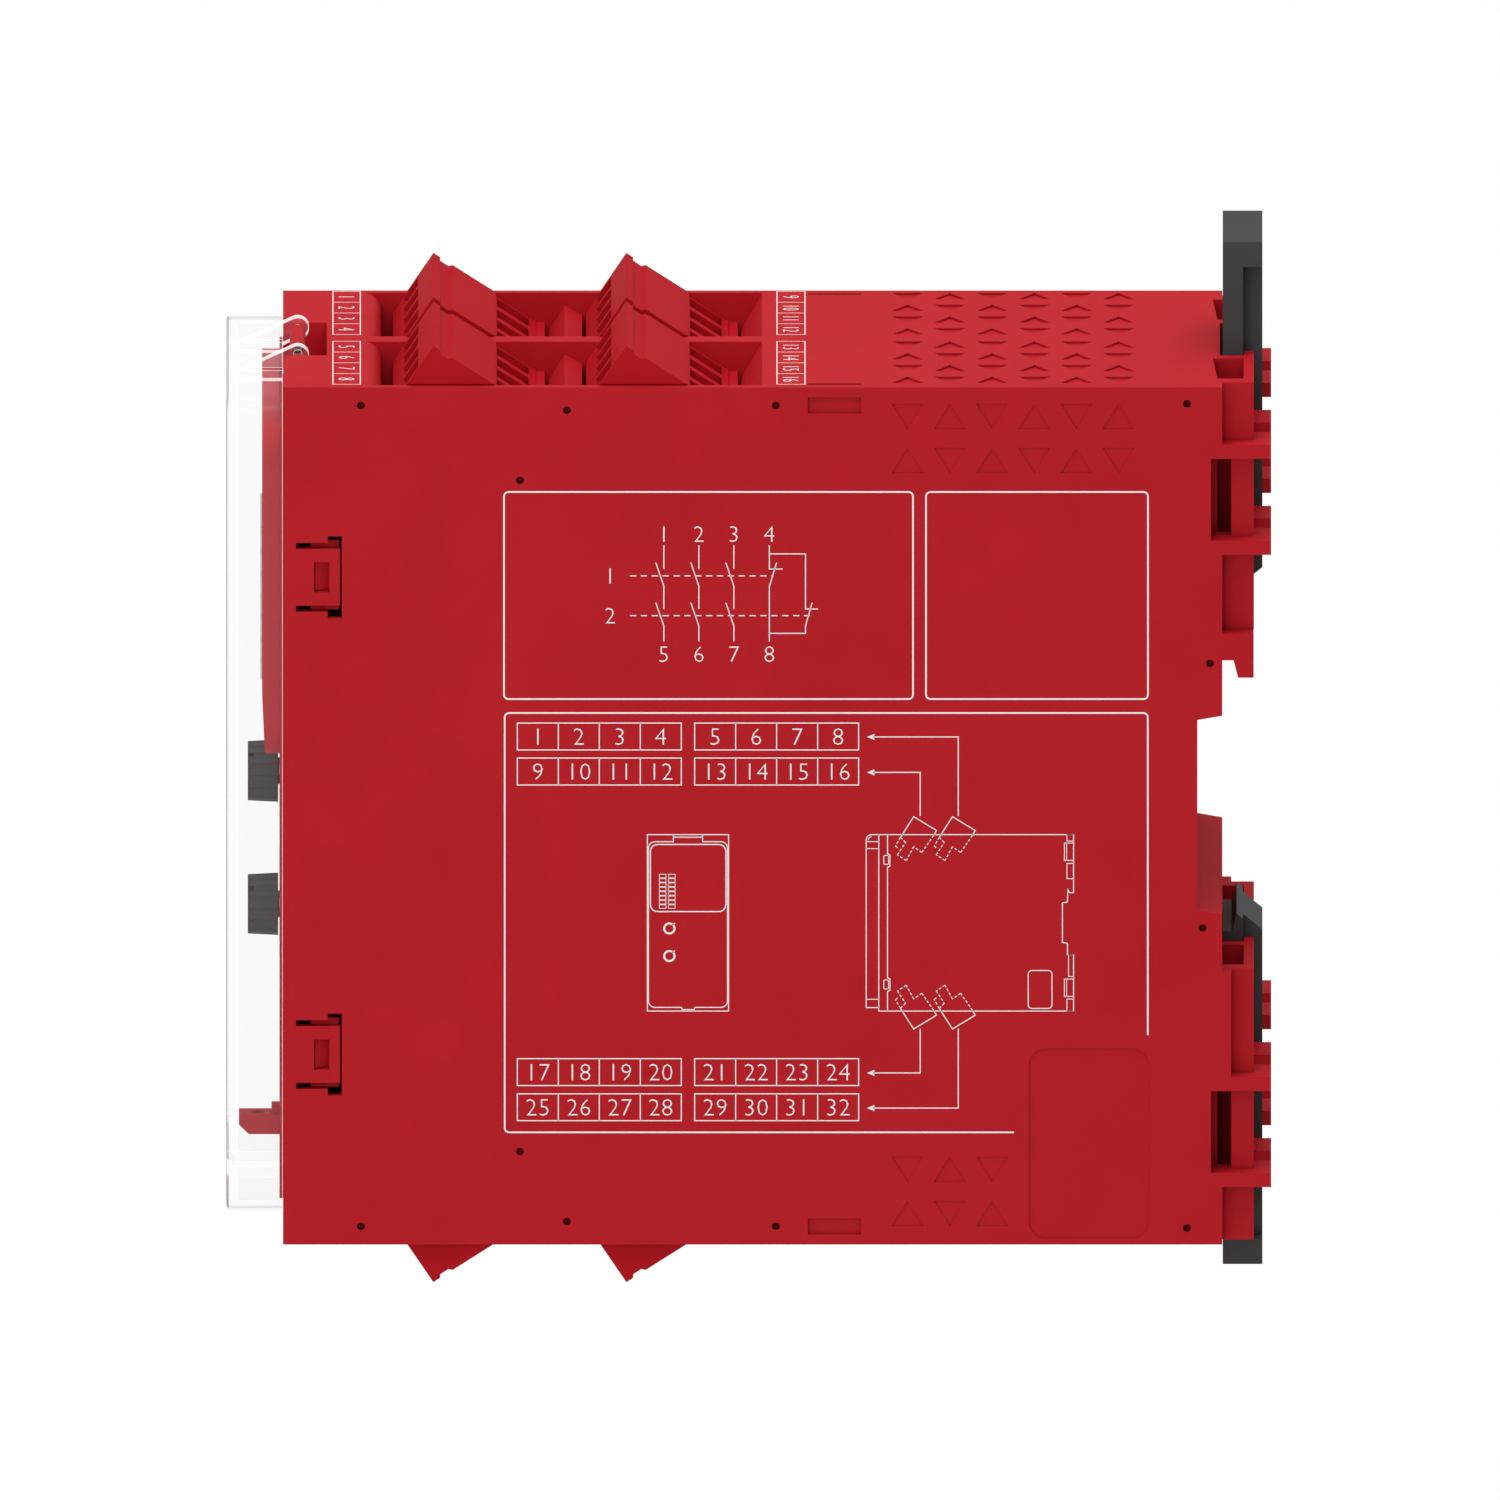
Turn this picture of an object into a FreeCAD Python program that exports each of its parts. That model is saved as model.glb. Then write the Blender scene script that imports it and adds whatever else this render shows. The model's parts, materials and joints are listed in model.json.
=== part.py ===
"""Safety relay for a 35 mm rail: red moulded housing, clear hinged cover, two selectors,
eight plug-in terminal blocks and two sliding feet.

Millimetres. X runs across the 45 mm width, Y from the front (negative) to the rail, Z up.
The origin is the centre of the rail seat on the housing's rear face.
"""
import FreeCAD, Part
import math
import os

import Sketcher

DRIVING = {
    # housing
    "housing_width": 45.0,
    "housing_depth": 105.4,
    "housing_height": 99.12,
    "rail_offset": 0.5,
    "side_wall": 1.1,
    "shell_wall": 1.6,
    "fit_gap": 0.1,
    "rear_inner": 4.4,
    # rail seat, hook and bus notch
    "rail_height": 35.0,
    "rail_play": 0.1,
    "hook_front": 1.27,
    "hook_lean": 0.5,
    "hook_drop": 2.0,
    "hook_block": 3.05,
    "hook_back": 3.52,
    "notch_depth": 2.8,
    "notch_low": -11.35,
    "notch_high": 10.6,
    "notch_flare": 0.5,
    # foot guides and ribs
    "rib_reach": 5.48,
    "rib_thick": 1.62,
    "rib_inner_at": 30.2,
    "rib_outer_at": 41.3,
    "rib_slot_half": 6.2,
    "rib_notch_from": 12.1,
    "rib_notch": 4.4,
    "guide_back": 3.55,
    "guide_step": 2.3,
    "guide_front": 1.0,
    "window_front": -1.27,
    "lower_guide_top": -18.7,
    "guide_wall": 1.9,
    "guide_hollow": 9.3,
    "guide_hollow_at": 9.0,
    "guide_hollow_front": -1.05,
    "guide_hollow_back": 2.4,
    "guide_hollow_slant": 0.5,
    # sliding feet
    "foot_half": 7.3,
    "foot_rib_half": 5.1,
    "foot_step": 2.32,
    "foot_back": 4.5,
    "foot_length": 40.56,
    "foot_ledge_at": 38.5,
    "foot_ledge": 1.03,
    "foot_tip": 1.59,
    "foot_slope_drop": 2.4,
    "foot_lug": 2.9,
    "foot_gap": 0.05,
    "foot_play": 0.3,
    "foot_travel": 6.1,
    "foot_hole_at": 5.0,
    "foot_hole_radius": 2.25,
    # terminal bays
    "bay_setback": 11.0,
    "bay_length": 40.4,
    "bay_flare": 2.36,
    "bay_flare_drop": 4.1,
    "bay_depth": 12.24,
    "bay_mid_wall": 2.4,
    "bay_round": 1.9,
    "bay_floor": 1.5,
    "ridge_setback": 20.6,
    "ridge_front": 1.86,
    "ridge_back": 1.95,
    "ridge_rise": 2.98,
    "ridge_fall": 1.13,
    "ridge_below_top": 1.4,
    # terminal plugs
    "plug_setback": 5.86,
    "plug_rise": 4.58,
    "row_pitch": 21.66,
    "pole_pitch": 5.0,
    "plug_gap": 0.1,
    "hood_overhang": 0.3,
    "hood_clearance": 0.15,
    "wire_face_run": 4.5,
    "wire_face_drop": 6.76,
    "hood_slope": 0.649,
    "hood_length": 7.06,
    "hood_step": 0.38,
    "slot_zone": 4.13,
    "grip_groove_at": 0.77,
    "grip_groove": 1.41,
    "grip_groove_deep": 0.4,
    "grip_groove_lip": 0.5,
    "grip_groove_rise": 0.1,
    "hood_back": 0.2,
    "heel_length": 12.5,
    "heel_drop": 7.9,
    "plug_height": 14.7,
    "key_height": 4.2,
    "key_front": 1.5,
    "key_back": 2.5,
    "wire_hole_from": 3.1,
    "wire_hole_long": 3.0,
    "wire_hole_wide": 3.9,
    "wire_hole_deep": 6.0,
    "test_slot_wide": 3.5,
    "test_slot_deep": 1.6,
    "test_slot_shallow": 0.96,
    "test_slot_edge": 0.5,
    "cut_proud": 0.5,
    "cage_front": -0.3,
    "cage_back": 4.3,
    "cage_top": 6.5,
    "cage_foot": 13.9,
    "cage_sheet": 0.5,
    "cage_wide": 3.0,
    "cage_lip": 1.7,
    "cage_spring": 3.0,
    "cage_gap": 0.2,
    # headers and pins
    "pin_side": 1.0,
    "pin_at": 2.0,
    "pin_up": 6.0,
    "pin_step": 1.8,
    "pin_tail": 2.6,
    "header_lip": 1.2,
    "header_lip_rise": 3.4,
    # front panel
    "panel_proud": 0.4,
    "panel_thick": 1.6,
    "panel_face_half": 20.4,
    "panel_face_margin": 4.4,
    "bezel_rise": 1.95,
    "bezel_low": 5.9,
    "bezel_slope": 7.5,
    "bezel_slope_deep": 0.33,
    "bezel_high": 44.2,
    "bezel_half": 20.2,
    "bezel_round": 3.5,
    "label_inset": 0.4,
    "label_from": -5.4,
    "label_margin": 2.2,
    "clip_at": 27.6,
    "clip_half": 2.7,
    "clip_head_half": 4.0,
    "clip_head_from": 3.1,
    "clip_reach": 6.3,
    "clip_thick": 1.1,
    "clip_window_from": 3.5,
    "clip_window": 1.7,
    "clip_window_half": 1.75,
    "clip_nib": 0.7,
    "slit_from": 1.46,
    "slit_back": 6.59,
    "slit_thin": 0.2,
    "slit_low": 3.28,
    "slit_high": 3.98,
    "slit_notch_from": 5.02,
    "slit_notch_high": 4.73,
    "tongue_half": 1.6,
    "tongue_low": -42.0,
    "tongue_thick": 2.2,
    "tongue_reach": 4.55,
    "tongue_eye": 0.7,
    "tongue_root_deep": 0.9,
    "tongue_root_high": 1.0,
    # indicators
    "lens_wide": 3.5,
    "lens_high": 2.0,
    "lens_pitch": 2.51,
    "lens_low": 9.3,
    "lens_left": -14.0,
    "lens_right": -9.0,
    "lens_proud": 0.2,
    "lens_gap": 0.05,
    "guide_bar": 5.6,
    "guide_peg": 0.6,
    "guide_peg_in": 2.0,
    # selectors
    "knob_x": -10.6,
    "mode_knob_z": -3.5,
    "start_knob_z": -18.9,
    "knob_radius": 3.5,
    "knob_taper": 2.8,
    "knob_height": 3.41,
    "knob_gap": 0.15,
    "shaft_radius": 1.5,
    "shaft_gap": 0.1,
    "shaft_room": 0.4,
    "shaft_long": 4.2,
    "flute_radius": 0.45,
    "flute_short": 0.2728,
    "flute_out": 0.1575,
    "driver_slot": 0.9,
    "driver_slot_deep": 1.2,
    "driver_slot_long": 4.34,
    "pointer_from": 1.5624,
    "pointer_to": 2.62,
    "pointer_wide": 0.55,
    "pointer_tip": 0.2,
    "pointer_deep": 0.72,
    "switch_half": 3.8,
    "switch_corner": 0.6,
    # clear cover
    "cover_half": 22.0,
    "cover_low": -46.5,
    "cover_high": 47.7,
    "cover_front": 6.4,
    "cover_rim_gap": 0.05,
    "cover_wall": 1.2,
    "cover_round": 3.2,
    "cover_notch_half": 3.6,
    "cover_notch_high": 1.2,
    "cover_edge": 0.8,
    "arm_inner": 5.8,
    "arm_thick": 1.4,
    "arm_radius": 1.25,
    "arm_shoulder": 0.1,
    "pivot_back": 1.65,
    "pivot_below_top": 0.25,
    "pivot_pin": 0.45,
    "pivot_bore_gap": 0.05,
    "pivot_pin_long": 3.1,
    "lug_half": 4.0,
    "lug_radius": 0.9,
    "hinge_bay_half": 7.6,
    "hinge_bay_deep": 4.5,
    "hinge_bay_back": 4.9,
    # boards
    "board_thick": 1.6,
    "board_gap": 0.3,
    "board_corner": 1.5,
    "side_board_at": 18.4,
    "side_board_half": 33.0,
    "front_board_back": 9.8,
    "front_board_half": 19.4,
    "front_board_high": 32.0,
    "front_board_notch": 3.0,
    "front_board_notch_high": 8.0,
    "joint_block_thick": 3.0,
    "joint_block_deep": 6.0,
    "joint_block_half": 12.0,
    "joint_slot_from": 2.0,
    "joint_slot_long": 2.5,
    "joint_slot_high": 0.8,
    "joint_slot_edge": 1.0,
    "joint_pitch": 2.54,
    # bus contact block
    "bus_at": 5.25,
    "bus_half": 8.0,
    "bus_high": 4.25,
    "bus_deep": 3.0,
    "bus_step": 1.1,
    "bus_opening_gap": 0.1,
    "bus_contact_wide": 1.2,
    "bus_contact_high": 3.5,
    "bus_contact_deep": 1.5,
    "bus_contact_pitch": 2.5,
    # parts on the boards
    "relay_back": 34.0,
    "relay_long": 28.0,
    "relay_half": 6.2,
    "relay_tall": 15.4,
    "relay_round": 0.8,
    "relay_base": 1.2,
    "relay_base_step": 0.4,
    "relay_base_side": 0.3,
    "upper_relay_z": 15.0,
    "lower_relay_z": -16.0,
    "core_back": 11.0,
    "core_long": 17.0,
    "core_half": 9.5,
    "core_tall": 11.5,
    "core_limb": 2.5,
    "core_tongue": 2.9,
    "core_window_wide": 1.8,
    "bobbin_thick": 1.5,
    "bobbin_edge": 1.0,
    "bobbin_side": 0.5,
    "can_at": 20.0,
    "can_radius": 5.0,
    "can_tall": 15.0,
    "can_groove_long": 3.0,
    "can_groove_half": 0.25,
    "can_groove_deep": 0.3,
    "bung_radius": 4.2,
    "bung_thick": 0.8,
    "upper_can_z": 10.0,
    "lower_can_z": -11.0,
    "chip_at": 80.0,
    "chip_half": 5.0,
    "chip_top": 1.6,
    "chip_under": 0.2,
    "lead_reach": 6.2,
    "lead_half": 0.2,
    "lead_thick": 0.6,
    "lead_pitch": 1.2,
    "fuse_at": 69.0,
    "fuse_z": 20.0,
    "fuse_off": 2.2,
    "fuse_radius": 1.8,
    "fuse_half": 3.0,
    "fuse_cap": 2.0,
    # surface details
    "peg_radius": 0.45,
    "peg_deep": 0.9,
    "front_peg_at": 8.74,
    "front_peg_down": 2.1,
    "bay_peg_at": 31.86,
    "bay_peg_down": 2.65,
    "back_peg_at": 55.31,
    "rear_peg_at": 3.96,
    "rear_peg_down": 1.9,
    "inner_peg_at": 26.59,
    "inner_peg_down": 10.75,
    "hook_peg_at": 1.38,
    "hook_peg_down": 0.35,
    "notch_peg_at": 2.2,
    "notch_peg_down": 2.1,
    "vent_deep": 0.25,
    "vent_long": 3.54,
    "vent_across": 2.9,
    "vent_pitch": 4.735,
    "vent_row_pitch": 5.45,
    "vent_setback": 37.07,
    "vent_row_from": 21.4,
    "relief_deep": 0.12,
    "relief_row_pitch": 5.1,
    "relief_below_top": 9.9,
    "relief_above_bottom": 2.15,
    "slim_slot_at": 20.6,
    "slim_slot_wide": 0.6,
    "finger_slot_from": 58.91,
    "finger_slot_long": 5.95,
    "finger_slot_high": 1.85,
    "finger_slot_deep": 0.45,
    "finger_slot_down": 1.15,
    "tag_from": 8.23,
    "tag_long": 13.46,
    "tag_high": 21.97,
    "tag_low": 0.7,
    "tag_round": 1.9,
    "tag_deep": 0.15,
}


class Size:
    """A number that remembers the sheet expression it comes from."""

    def __init__(self, value, text):
        self.value = value
        self.text = text

    def joined(self, sign, other, value):
        return Size(value, f"({self.text} {sign} {other.text})")

    def __add__(self, other):
        other = as_size(other)
        return self.joined("+", other, self.value + other.value)

    def __sub__(self, other):
        other = as_size(other)
        return self.joined("-", other, self.value - other.value)

    def __mul__(self, other):
        other = as_size(other)
        return self.joined("*", other, self.value * other.value)

    def __truediv__(self, other):
        other = as_size(other)
        return self.joined("/", other, self.value / other.value)

    def __radd__(self, other):
        return as_size(other) + self

    def __rsub__(self, other):
        return as_size(other) - self

    def __rmul__(self, other):
        return as_size(other) * self

    def __neg__(self):
        return Size(-self.value, f"(-{self.text})")


def as_size(number):
    """The number itself as a Size, so that plain numbers and sizes mix."""
    if isinstance(number, Size):
        return number
    return Size(float(number), f"({float(number)})")


def root(size):
    """The square root of a size, as a Size."""
    return Size(math.sqrt(size.value), f"sqrt({size.text})")


doc = FreeCAD.newDocument("SafetyRelay")
sheet = doc.addObject("Spreadsheet::Sheet", "Sizes")


class Sizes:
    """The driving sizes, one cell each, read as attributes."""

    def __init__(self, driving):
        for row, (name, value) in enumerate(driving.items(), start=1):
            sheet.set(f"A{row}", name)
            sheet.set(f"B{row}", str(value))
            sheet.setAlias(f"B{row}", name)
            setattr(self, name, Size(value, f"Sizes.{name}"))


S = Sizes(DRIVING)
doc.recompute()

POLES = 4
LENSES = 8
FLUTES = 16
LEADS = 8
BUS_CONTACTS = 5
JOINT_CONTACTS = 9
# An edge counts as found when its middle is this near to the given place, in millimetres.
EDGE_NEAR = 0.02
# Shares of the arm's eye radius at which its straight edges meet the round eye.
ARM_MEET = 0.4
ARM_CROWN = 0.91
ARM_HEEL = 0.97
# Share of the foot's tip slope by which its cheeks start below the tip.
CHEEK_DROP = 0.25
ROWS = ("front", "rear")
ENDS = {"top": 1, "bottom": -1}
SIDES = {"left": -1, "right": 1}

half = S.housing_width / 2
front = -S.housing_depth
mid = -S.rail_offset
top = mid + S.housing_height / 2
bottom = mid - S.housing_height / 2
shell_side = half - S.side_wall
side_step = half - S.guide_step
rail_top = S.rail_height / 2
rail_low = -S.rail_height / 2 - S.rail_play
channel_half = S.foot_half + S.foot_play
lip_half = S.foot_rib_half + S.foot_play
channel_front = S.foot_gap - S.foot_play
lip_front = S.foot_step + S.fit_gap
bay_front = front + S.bay_setback
bay_rear = bay_front + S.bay_length
bay_half_wall = S.bay_mid_wall / 2
bay_center = (bay_half_wall + shell_side) / 2
row_span = S.pole_pitch * (POLES - 1)
panel_back = front + S.panel_thick
panel_face = front - S.panel_proud
bezel_face = panel_face - S.bezel_rise
board_face = front + S.front_board_back
board_back = board_face + S.board_thick
pivot_y = front + S.pivot_back
pivot_z = top - S.pivot_below_top


def level(end, height):
    """The Z of a height above (or below) the housing's mid plane at the top (or bottom) end."""
    return mid + ENDS[end] * height


def ordered(first, second):
    """Two places with the lower one first."""
    return (first, second) if first.value < second.value else (second, first)


class Piece:
    """One separate piece: a body whose features are bound to the sizes."""

    made = []

    def __init__(self, label):
        self.body = doc.addObject("PartDesign::Body", label)
        self.body.Label = label
        self.body.AllowCompound = True
        self.steps = []
        Piece.made.append(self)

    def origin(self, role):
        """The body's own plane or axis of that role."""
        for feature in self.body.Origin.OriginFeatures:
            if feature.Role == role:
                return feature
        raise ValueError(role)

    def sketch(self, name, plane, at, shapes):
        """A sketch parallel to an origin plane, holding closed outlines and circles."""
        sketch = self.body.newObject("Sketcher::SketchObject", name)
        sketch.AttachmentSupport = (self.origin(f"{plane}_Plane"), [""])
        sketch.MapMode = "FlatFace"
        offset = -at if plane == "XZ" else at
        sketch.setExpression("AttachmentOffset.Base.z", as_size(offset).text)
        for shape in shapes:
            shape(sketch)
        return sketch

    def settle(self, feature, grows):
        """Makes the feature the tip and notes whether it adds (1) or removes (-1) material."""
        self.body.Tip = feature
        self.steps.append((feature, grows))
        return feature

    def check_steps(self):
        """Stops where a feature neither added nor removed what it should."""
        before = 0.0
        for feature, grows in self.steps:
            volume = feature.Shape.Volume
            if (volume - before) * grows <= 0.0:
                raise RuntimeError(f"{feature.Name} left {self.body.Label} as it was")
            before = volume

    def add(self, name, plane, start, end, *shapes):
        """Material between two places along the plane's axis."""
        start, end = as_size(start), as_size(end)
        at = end if plane == "XZ" else start
        pad = self.body.newObject("PartDesign::Pad", name)
        pad.Profile = self.sketch(f"{name}_outline", plane, at, shapes)
        pad.setExpression("Length", (end - start).text)
        return self.settle(pad, 1)

    def cut(self, name, plane, start, end, *shapes):
        """A recess or hole between two places along the plane's axis."""
        start, end = as_size(start), as_size(end)
        at = start if plane == "XZ" else end
        pocket = self.body.newObject("PartDesign::Pocket", name)
        pocket.Profile = self.sketch(f"{name}_outline", plane, at, shapes)
        pocket.setExpression("Length", (end - start).text)
        return self.settle(pocket, -1)

    def row(self, name, feature, axis, pitch, count, grows=-1):
        """The feature repeated along an axis at a pitch."""
        pattern = self.body.newObject("PartDesign::LinearPattern", name)
        pattern.Originals = [feature]
        pattern.Direction = (self.origin(f"{axis}_Axis"), [""])
        pattern.setExpression("Length", (as_size(pitch) * (count - 1)).text)
        pattern.Occurrences = count
        return self.settle(pattern, grows)

    def grid(self, name, feature, axis, pitch, count, cross_axis, cross_pitch, cross_count):
        """The feature repeated along two axes."""
        pattern = self.row(name, feature, axis, pitch, count)
        pattern.Direction2 = (self.origin(f"{cross_axis}_Axis"), [""])
        pattern.setExpression("Length2", (as_size(cross_pitch) * (cross_count - 1)).text)
        pattern.Occurrences2 = cross_count
        return pattern

    def ring(self, name, feature, axis, count, grows=-1):
        """The feature repeated all round an axis."""
        pattern = self.body.newObject("PartDesign::PolarPattern", name)
        pattern.Originals = [feature]
        pattern.Axis = (self.origin(f"{axis}_Axis"), [""])
        pattern.Angle = 360.0
        pattern.Occurrences = count
        return self.settle(pattern, grows)

    def mirror(self, name, features, plane, grows):
        """The features repeated on the other side of an origin plane."""
        copy = self.body.newObject("PartDesign::Mirrored", name)
        copy.Originals = features
        copy.MirrorPlane = (self.origin(f"{plane}_Plane"), [""])
        return self.settle(copy, grows)

    def edges(self, axis, **places):
        """Names of straight edges parallel to an axis that lie at the given places."""
        doc.recompute()
        names = []
        for number, edge in enumerate(self.body.Shape.Edges, start=1):
            if not isinstance(edge.Curve, Part.Line):
                continue
            along = getattr(edge.Curve.Direction, axis)
            middle = edge.CenterOfMass
            gaps = [abs(getattr(middle, key) - as_size(place).value) for key, place in places.items()]
            near = max(gaps) < EDGE_NEAR
            if abs(abs(along) - 1.0) < 1e-6 and near:
                names.append(f"Edge{number}")
        return names

    def soften(self, name, kind, radius, names, grows=-1):
        """A fillet or chamfer on the named edges; one in an inner corner adds material."""
        base = self.body.Tip
        feature = self.body.newObject(f"PartDesign::{kind}", name)
        feature.Base = (base, names)
        feature.setExpression("Radius" if kind == "Fillet" else "Size", as_size(radius).text)
        return self.settle(feature, grows)

    def place(self, x, y, z, turned=False):
        """Puts the piece at a place, turned half round about the depth axis where told."""
        if turned:
            self.body.Placement = FreeCAD.Placement(
                FreeCAD.Vector(), FreeCAD.Rotation(FreeCAD.Vector(0, 1, 0), 180)
            )
        for axis, value in (("x", x), ("y", y), ("z", z)):
            self.body.setExpression(f"Placement.Base.{axis}", as_size(value).text)


def outline(*points):
    """A closed outline through points, each held at its distances from the origin."""

    def draw(sketch):
        corners = [(as_size(u), as_size(v)) for u, v in points]
        vectors = [FreeCAD.Vector(u.value, v.value, 0) for u, v in corners]
        first = sketch.GeometryCount
        count = len(corners)
        sketch.addGeometry([Part.LineSegment(vectors[i], vectors[(i + 1) % count]) for i in range(count)])
        held = []
        for i, (u, v) in enumerate(corners):
            held.append(Sketcher.Constraint("Coincident", first + i, 2, first + (i + 1) % count, 1))
            held.append(Sketcher.Constraint("DistanceX", -1, 1, first + i, 1, u.value))
            held.append(Sketcher.Constraint("DistanceY", -1, 1, first + i, 1, v.value))
        start = sketch.ConstraintCount
        sketch.addConstraint(held)
        for i, (u, v) in enumerate(corners):
            sketch.setExpression(f"Constraints[{start + 3 * i + 1}]", u.text)
            sketch.setExpression(f"Constraints[{start + 3 * i + 2}]", v.text)

    return draw


def box(u_low, u_high, v_low, v_high):
    """A rectangle between two pairs of places."""
    return outline((u_low, v_low), (u_high, v_low), (u_high, v_high), (u_low, v_high))


def circle(u, v, radius):
    """A circle held by its centre and radius."""
    u, v, radius = as_size(u), as_size(v), as_size(radius)

    def draw(sketch):
        place = FreeCAD.Vector(u.value, v.value, 0)
        round_edge = sketch.addGeometry(Part.Circle(place, FreeCAD.Vector(0, 0, 1), radius.value))
        start = sketch.ConstraintCount
        sketch.addConstraint([
            Sketcher.Constraint("DistanceX", -1, 1, round_edge, 3, u.value),
            Sketcher.Constraint("DistanceY", -1, 1, round_edge, 3, v.value),
            Sketcher.Constraint("Radius", round_edge, radius.value),
        ])
        for number, value in enumerate((u, v, radius)):
            sketch.setExpression(f"Constraints[{start + number}]", value.text)

    return draw


def rib_steps(end):
    """The two ribs and the window between them, from the guide outwards, at one end."""
    inner = S.rib_inner_at
    outer = S.rib_outer_at
    guide = as_size(0.0) if end == "top" else S.guide_front
    return [
        (guide, level(end, inner)),
        (S.rib_reach, level(end, inner)),
        (S.rib_reach, level(end, inner + S.rib_thick)),
        (S.window_front, level(end, inner + S.rib_thick)),
        (S.window_front, level(end, outer)),
        (S.rib_reach, level(end, outer)),
        (S.rib_reach, level(end, outer + S.rib_thick)),
        (0, level(end, outer + S.rib_thick)),
    ]


def side_outline():
    """The housing seen from the side, with the bus notch, the rail hook and the ribs."""
    hook_tip = rail_top - S.hook_drop
    hook_top = rail_top + S.hook_block
    return outline(
        (front, bottom),
        (0, bottom),
        *reversed(rib_steps("bottom")),
        (S.guide_front, S.lower_guide_top),
        (0, S.lower_guide_top),
        (0, S.notch_low - S.notch_flare),
        (-S.notch_depth, S.notch_low),
        (-S.notch_depth, S.notch_high),
        (0, S.notch_high + S.notch_flare),
        (0, rail_top),
        (S.hook_front, rail_top),
        (S.hook_front + S.hook_lean, hook_tip),
        (S.hook_back, hook_tip),
        (S.hook_back, hook_top),
        (0, hook_top),
        *rib_steps("top"),
        (0, top),
        (front, top),
    )


def triangle_cell(along, across, row_pitch, columns):
    """Corners of a few columns of two triangles each, pointing in turn to either side."""
    cell = []
    for column in range(columns):
        for line in (0, 1):
            start = along + column * S.vent_pitch
            low = across + line * row_pitch
            high = low + S.vent_across
            base, tip = (low, high) if column % 2 == line else (high, low)
            cell.append(((start, base), (start + S.vent_long, base), (start + S.vent_long / 2, tip)))
    return cell


def housing_body():
    """The tub: far wall, top, bottom and rear wall in one moulding, with bays, guides and hooks."""
    tub = Piece("housing_body")
    tub.add("tub_block", "YZ", -half, shell_side, side_outline())
    add_foot_guides(tub)
    hollow_tub(tub)
    cut_bays(tub)
    cut_foot_channels(tub)
    make_hinge_bay(tub)
    cut_bus_opening(tub)
    for end in ENDS:
        cut_clip_window(tub, end, -half, -shell_side)
    cut_top_vents(tub)
    return tub


def add_foot_guides(tub):
    """The blocks behind the rear wall that the feet slide in."""
    rear = S.window_front - S.side_wall
    hook_top = rail_top + S.hook_block
    tub.add("upper_guide", "XY", hook_top, top, box(-side_step, side_step, rear, S.guide_back))
    tub.add("lower_guide", "XY", bottom, S.lower_guide_top,
            box(-side_step, side_step, rear, S.guide_back))


def hollow_tub(tub):
    """The room for the boards, stepped below the terminal bays and open at the front."""
    under_bay = S.housing_height / 2 - S.bay_depth - S.bay_floor
    ceiling = S.housing_height / 2 - S.shell_wall
    bay_wall_front = bay_front - S.shell_wall
    bay_wall_rear = bay_rear + S.bay_flare + S.shell_wall
    corners = []
    for end, order in (("bottom", 1), ("top", -1)):
        steps = [
            (front, level(end, ceiling)),
            (bay_wall_front, level(end, ceiling)),
            (bay_wall_front, level(end, under_bay)),
            (bay_wall_rear, level(end, under_bay)),
            (bay_wall_rear, level(end, ceiling)),
            (-S.rear_inner, level(end, ceiling)),
        ]
        corners += steps[::order]
    tub.cut("board_room", "YZ", -shell_side, shell_side, outline(*corners))


def cut_bays(tub):
    """Four terminal bays with a flared rear wall, a rounded front edge and a ridge between the rows."""
    ridge_y = bay_front + S.ridge_setback
    for end in ENDS:
        edge = S.housing_height / 2
        floor = edge - S.bay_depth
        flare = S.bay_flare_drop
        peak = edge - S.ridge_below_top
        bay = outline(
            (bay_front, level(end, edge + S.shell_wall)),
            (bay_front, level(end, floor)),
            (ridge_y - S.ridge_front, level(end, floor)),
            (ridge_y - S.ridge_front, level(end, peak - S.ridge_rise)),
            (ridge_y, level(end, peak)),
            (ridge_y + S.ridge_back, level(end, peak - S.ridge_fall)),
            (ridge_y + S.ridge_back, level(end, floor)),
            (bay_rear, level(end, floor)),
            (bay_rear, level(end, edge - flare)),
            (bay_rear + S.bay_flare, level(end, edge)),
            (bay_rear + S.bay_flare, level(end, edge + S.shell_wall)),
        )
        tub.cut(f"{end}_left_bay", "YZ", -shell_side, -bay_half_wall, bay)
        tub.cut(f"{end}_right_bay", "YZ", bay_half_wall, shell_side, bay)
    rims = []
    for end in ENDS:
        rims += tub.edges("x", y=bay_front, z=level(end, S.housing_height / 2))
    tub.soften("bay_rims", "Fillet", S.bay_round, rims)
    slots = []
    for side in SIDES.values():
        for row in range(len(ROWS)):
            y = pin_place(row)
            low, high = ordered(side * (bay_center - row_span / 2 - S.pin_side),
                                side * (bay_center + row_span / 2 + S.pin_side))
            slots.append(box(low, high, y - S.pin_side, y + S.pin_side))
    under_bay = S.housing_height / 2 - S.bay_depth
    for end in ENDS:
        low, high = ordered(level(end, under_bay - S.bay_floor), level(end, under_bay))
        tub.cut(f"{end}_pin_slots", "XY", low, high, *slots)


def pin_place(row):
    """The depth of the pins of a terminal row."""
    return bay_front + S.plug_setback + S.pin_at + row * S.row_pitch


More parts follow.
